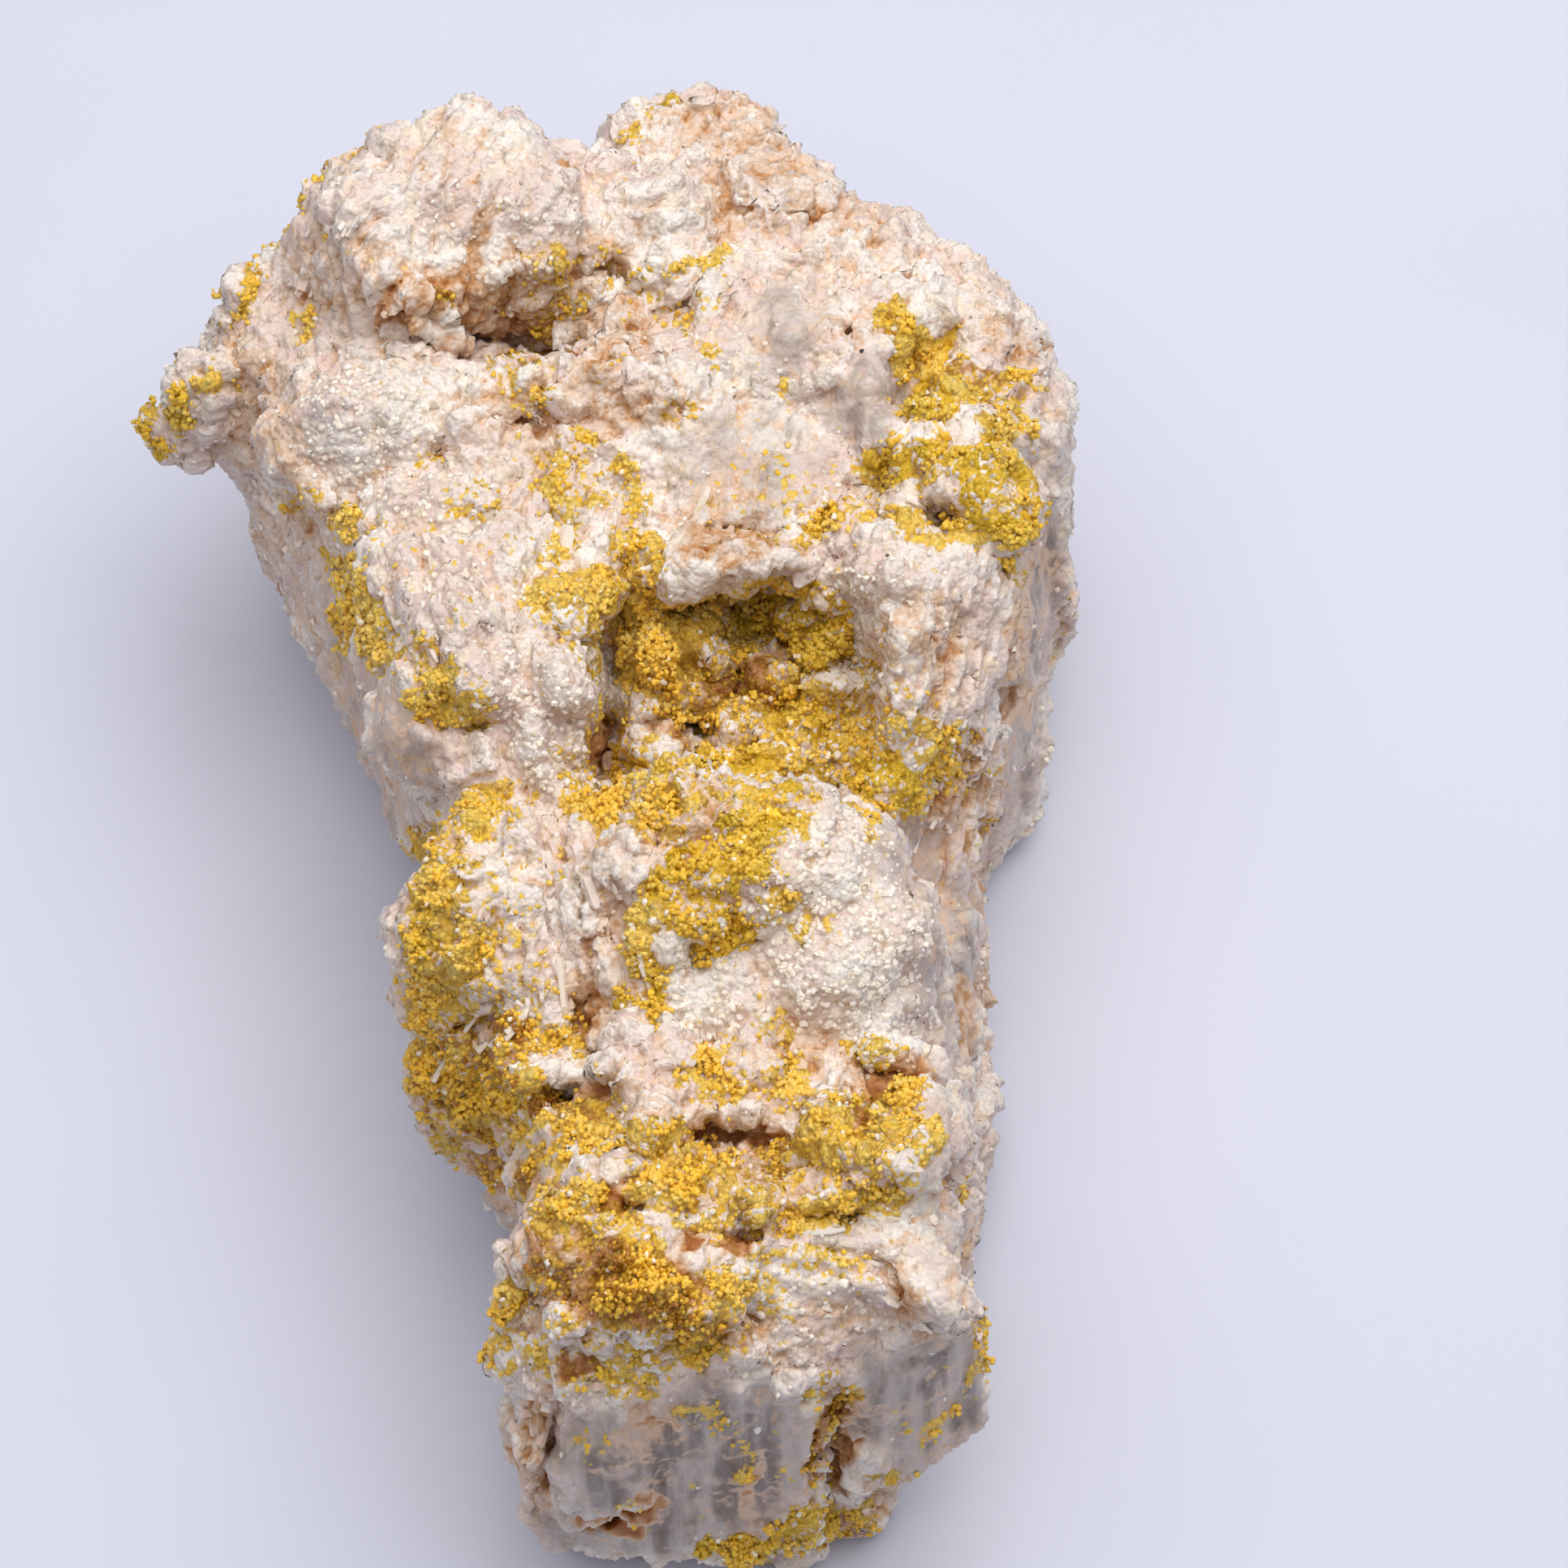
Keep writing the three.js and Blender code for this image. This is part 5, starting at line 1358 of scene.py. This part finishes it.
def grain_material():
    w = Wiring("pyromorphite_grains")
    tone = w.carried("tone")
    gold = w.mix(w.ramp(tone, 0.3, 0.95), MUSTARD_TONE, BRIGHT_TONE)
    green = w.mix(w.ramp(tone, 0.2, 0.95), OLIVE_TONE, PALE_OLIVE_TONE)
    colour = w.mix(w.ramp(w.wavering(w.carried("olive"), 2.5, 0.8), 0.3, 0.9), gold, green)
    # Painted bounce light: grains in hollows are made brighter.
    colour = w.mix(w.ramp(w.carried("hollow"), 0.1, 0.7, 0.0, 0.9), colour, PAINTED_BOUNCE_TONE)
    colour = w.mix(w.ramp(tone, 0.22, 0.0), colour, DEEP_TONE)
    colour = w.mix(w.carried("clear"), colour, CLEAR_TONE)
    soften(w, 0.3, 0.4, (1.0, 0.75, 0.3))
    roughness = w.ramp(w.noise(0.4), 0.3, 0.7, 0.2, 0.45)
    return w.finish(colour, roughness, w.bump(w.noise(0.15, detail=3), 0.02, 0.6))


# ---------------------------------------------------------------- stage

FLOOR_HALF = 1500.0
FLOOR_TONE = linear(217, 220, 235)
FLOOR_SHADE = linear(214, 217, 233)
FLOOR_CLOUDS = 60.0
LIT_PLACE = Vector((0, 0, 12))
SKY_TONE = (0.9, 0.9, 1.0, 1.0)
SKY_STRENGTH = 0.22


def make_floor():
    corners = [(-1, -1, 0), (1, -1, 0), (1, 1, 0), (-1, 1, 0)]
    floor = mesh_object("floor", FLOOR_HALF * np.array(corners), np.array([[0, 1, 2, 3]]), False)
    w = Wiring("floor_paint")
    tone = w.mix(w.ramp(w.noise(FLOOR_CLOUDS), 0.3, 0.7), FLOOR_TONE, FLOOR_SHADE)
    w.links.new(tone, w.shader.inputs["Base Color"])
    w.shader.inputs["Roughness"].default_value = 0.75
    floor.data.materials.append(w.material)


def make_light(name, place_mm, size_mm, watts, tone):
    data = bpy.data.lights.new(name, "AREA")
    data.shape = "DISK"
    data.size = size_mm * MM
    data.energy = watts
    data.color = tone
    light = bpy.data.objects.new(name, data)
    light.location = Vector(place_mm) * MM
    aim = LIT_PLACE - Vector(place_mm)
    light.rotation_euler = aim.to_track_quat("-Z", "Y").to_euler()
    bpy.context.scene.collection.objects.link(light)


def make_lights():
    make_light("key", (170, 180, 560), size_mm=620, watts=1.75, tone=(1.0, 0.98, 0.95))
    make_light("top", (-20, 20, 640), size_mm=950, watts=3.3, tone=(1.0, 0.985, 0.975))
    world = bpy.data.worlds.new("studio")
    world.use_nodes = True
    sky = world.node_tree.nodes["Background"].inputs
    sky["Color"].default_value = SKY_TONE
    sky["Strength"].default_value = SKY_STRENGTH
    bpy.context.scene.world = world
    bpy.context.scene.view_settings.view_transform = "Standard"


# ---------------------------------------------------------------- assembly

# The skin is cut into four pieces across its length, and the crusts into a far and a near half.
SKIN_CUTS = {
    "baryte_rock_near": (-99, -20),
    "baryte_rock_neck": (-20, 2),
    "baryte_rock_wide": (2, 20),
    "baryte_rock_far": (20, 99),
}
SPLIT_Y = -7.0
SPLIT_BLUR = 2
NEAR_NODES = ("crust_near_top", "crust_neck", "crust_ridge", "crust_left_flank")
FAR_NODES = [n for n in CRUST_NODES if n not in NEAR_NODES]
GRAIN_COUNT = 10000
BLADE_COUNT = 500
SUGAR_COUNT = 4000
FOOT_CELL = 2.0


def coarse_foot(points, quads):
    """The skin's triangles, with the flat underside redrawn in far fewer of them."""
    lifted = points[quads, 2].max(axis=1) > 1e-4
    kept = np.zeros(len(points), bool)
    kept[quads[lifted]] = True
    square = np.round(points[:, :2] / FOOT_CELL).astype(np.int64)
    _, first, group = np.unique(square[~kept], axis=0, return_index=True, return_inverse=True)
    stands_for = np.arange(len(points))
    inner = np.nonzero(~kept)[0]
    stands_for[inner] = inner[first][group.reshape(-1)]
    faces = stands_for[halved(quads)]
    whole = (faces[:, 0] != faces[:, 1]) & (faces[:, 1] != faces[:, 2]) & (faces[:, 2] != faces[:, 0])
    faces = faces[whole]
    # Two triangles folded onto each other bound nothing, so neither is kept.
    _, same, count = np.unique(np.sort(faces, axis=1), axis=0, return_inverse=True, return_counts=True)
    return faces[count[same.reshape(-1)] == 1]


def skin_piece(name, chosen):
    """The part of the skin made of the chosen triangles."""
    used, index = np.unique(chosen, return_inverse=True)
    piece = mesh_object(name, points[used], index.reshape(-1, 3), True)
    piece.data.normals_split_custom_set_from_vertices(normals[used])
    for key in SKIN_CARRIES:
        give(piece, key, found[key][used])
    return piece


def settle(piece, finish, slot, *nodes):
    piece.data.materials.append(finish)
    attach(piece, "root")
    if nodes:
        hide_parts(*nodes)


make_camera()
make_lights()
make_floor()

points, quads, normals, found, runs = rock()
ground = Ground(points, quads, normals, found, runs)
rng = np.random.default_rng(SEED)
skin_finish = skin_material()
grain_finish = grain_material()
clear_finish = crystal_material("baryte_clear", CLEAR_TONE, 0.16)
blade_finish = crystal_material("baryte_blades", PINK, 0.3)

triangles = coarse_foot(points, quads)
middle_y = points[triangles].mean(axis=1)[:, 1]
for name, (low, high) in SKIN_CUTS.items():
    piece = skin_piece(name, triangles[(middle_y > low) & (middle_y <= high)])
    settle(piece, skin_finish, "baryte", MATRIX_NODE)

yellow = np.clip(np.maximum(found["mustard"], found["olive"]), 0, 1)
seen_more = 0.4 + 0.6 * found["seen"]
spread = softened(yellow, edges_of(quads), 5)
crusted = (spread**1.4 + 0.05 * found["dots"] + 1e-6) * seen_more
bare = np.clip(1 - 0.8 * yellow, 0, 1) * (1 - 0.95 * found["slab"])
far = smoothstep(SPLIT_Y - SPLIT_BLUR, SPLIT_Y + SPLIT_BLUR, points[:, 1])
piece = pyromorphite(ground, "pyromorphite_far", rng, GRAIN_COUNT, crusted * far)
settle(piece, grain_finish, "pyromorphite", *FAR_NODES)
piece = pyromorphite(ground, "pyromorphite_near", rng, GRAIN_COUNT, crusted * (1 - far))
settle(piece, grain_finish, "pyromorphite", *NEAR_NODES)
piece = blades(ground, "baryte_blade_rows", rng, BLADE_COUNT, bare * (0.02 + found["rows"] ** 2) * seen_more)
settle(piece, blade_finish, "baryte")
piece = sugar(ground, "baryte_sugar", rng, SUGAR_COUNT, bare * (0.02 + found["sugar"] ** 2) * seen_more)
settle(piece, clear_finish, "baryte")
piece = single_blades(ground, "baryte_single_blades", rng)
settle(piece, clear_finish, "baryte")
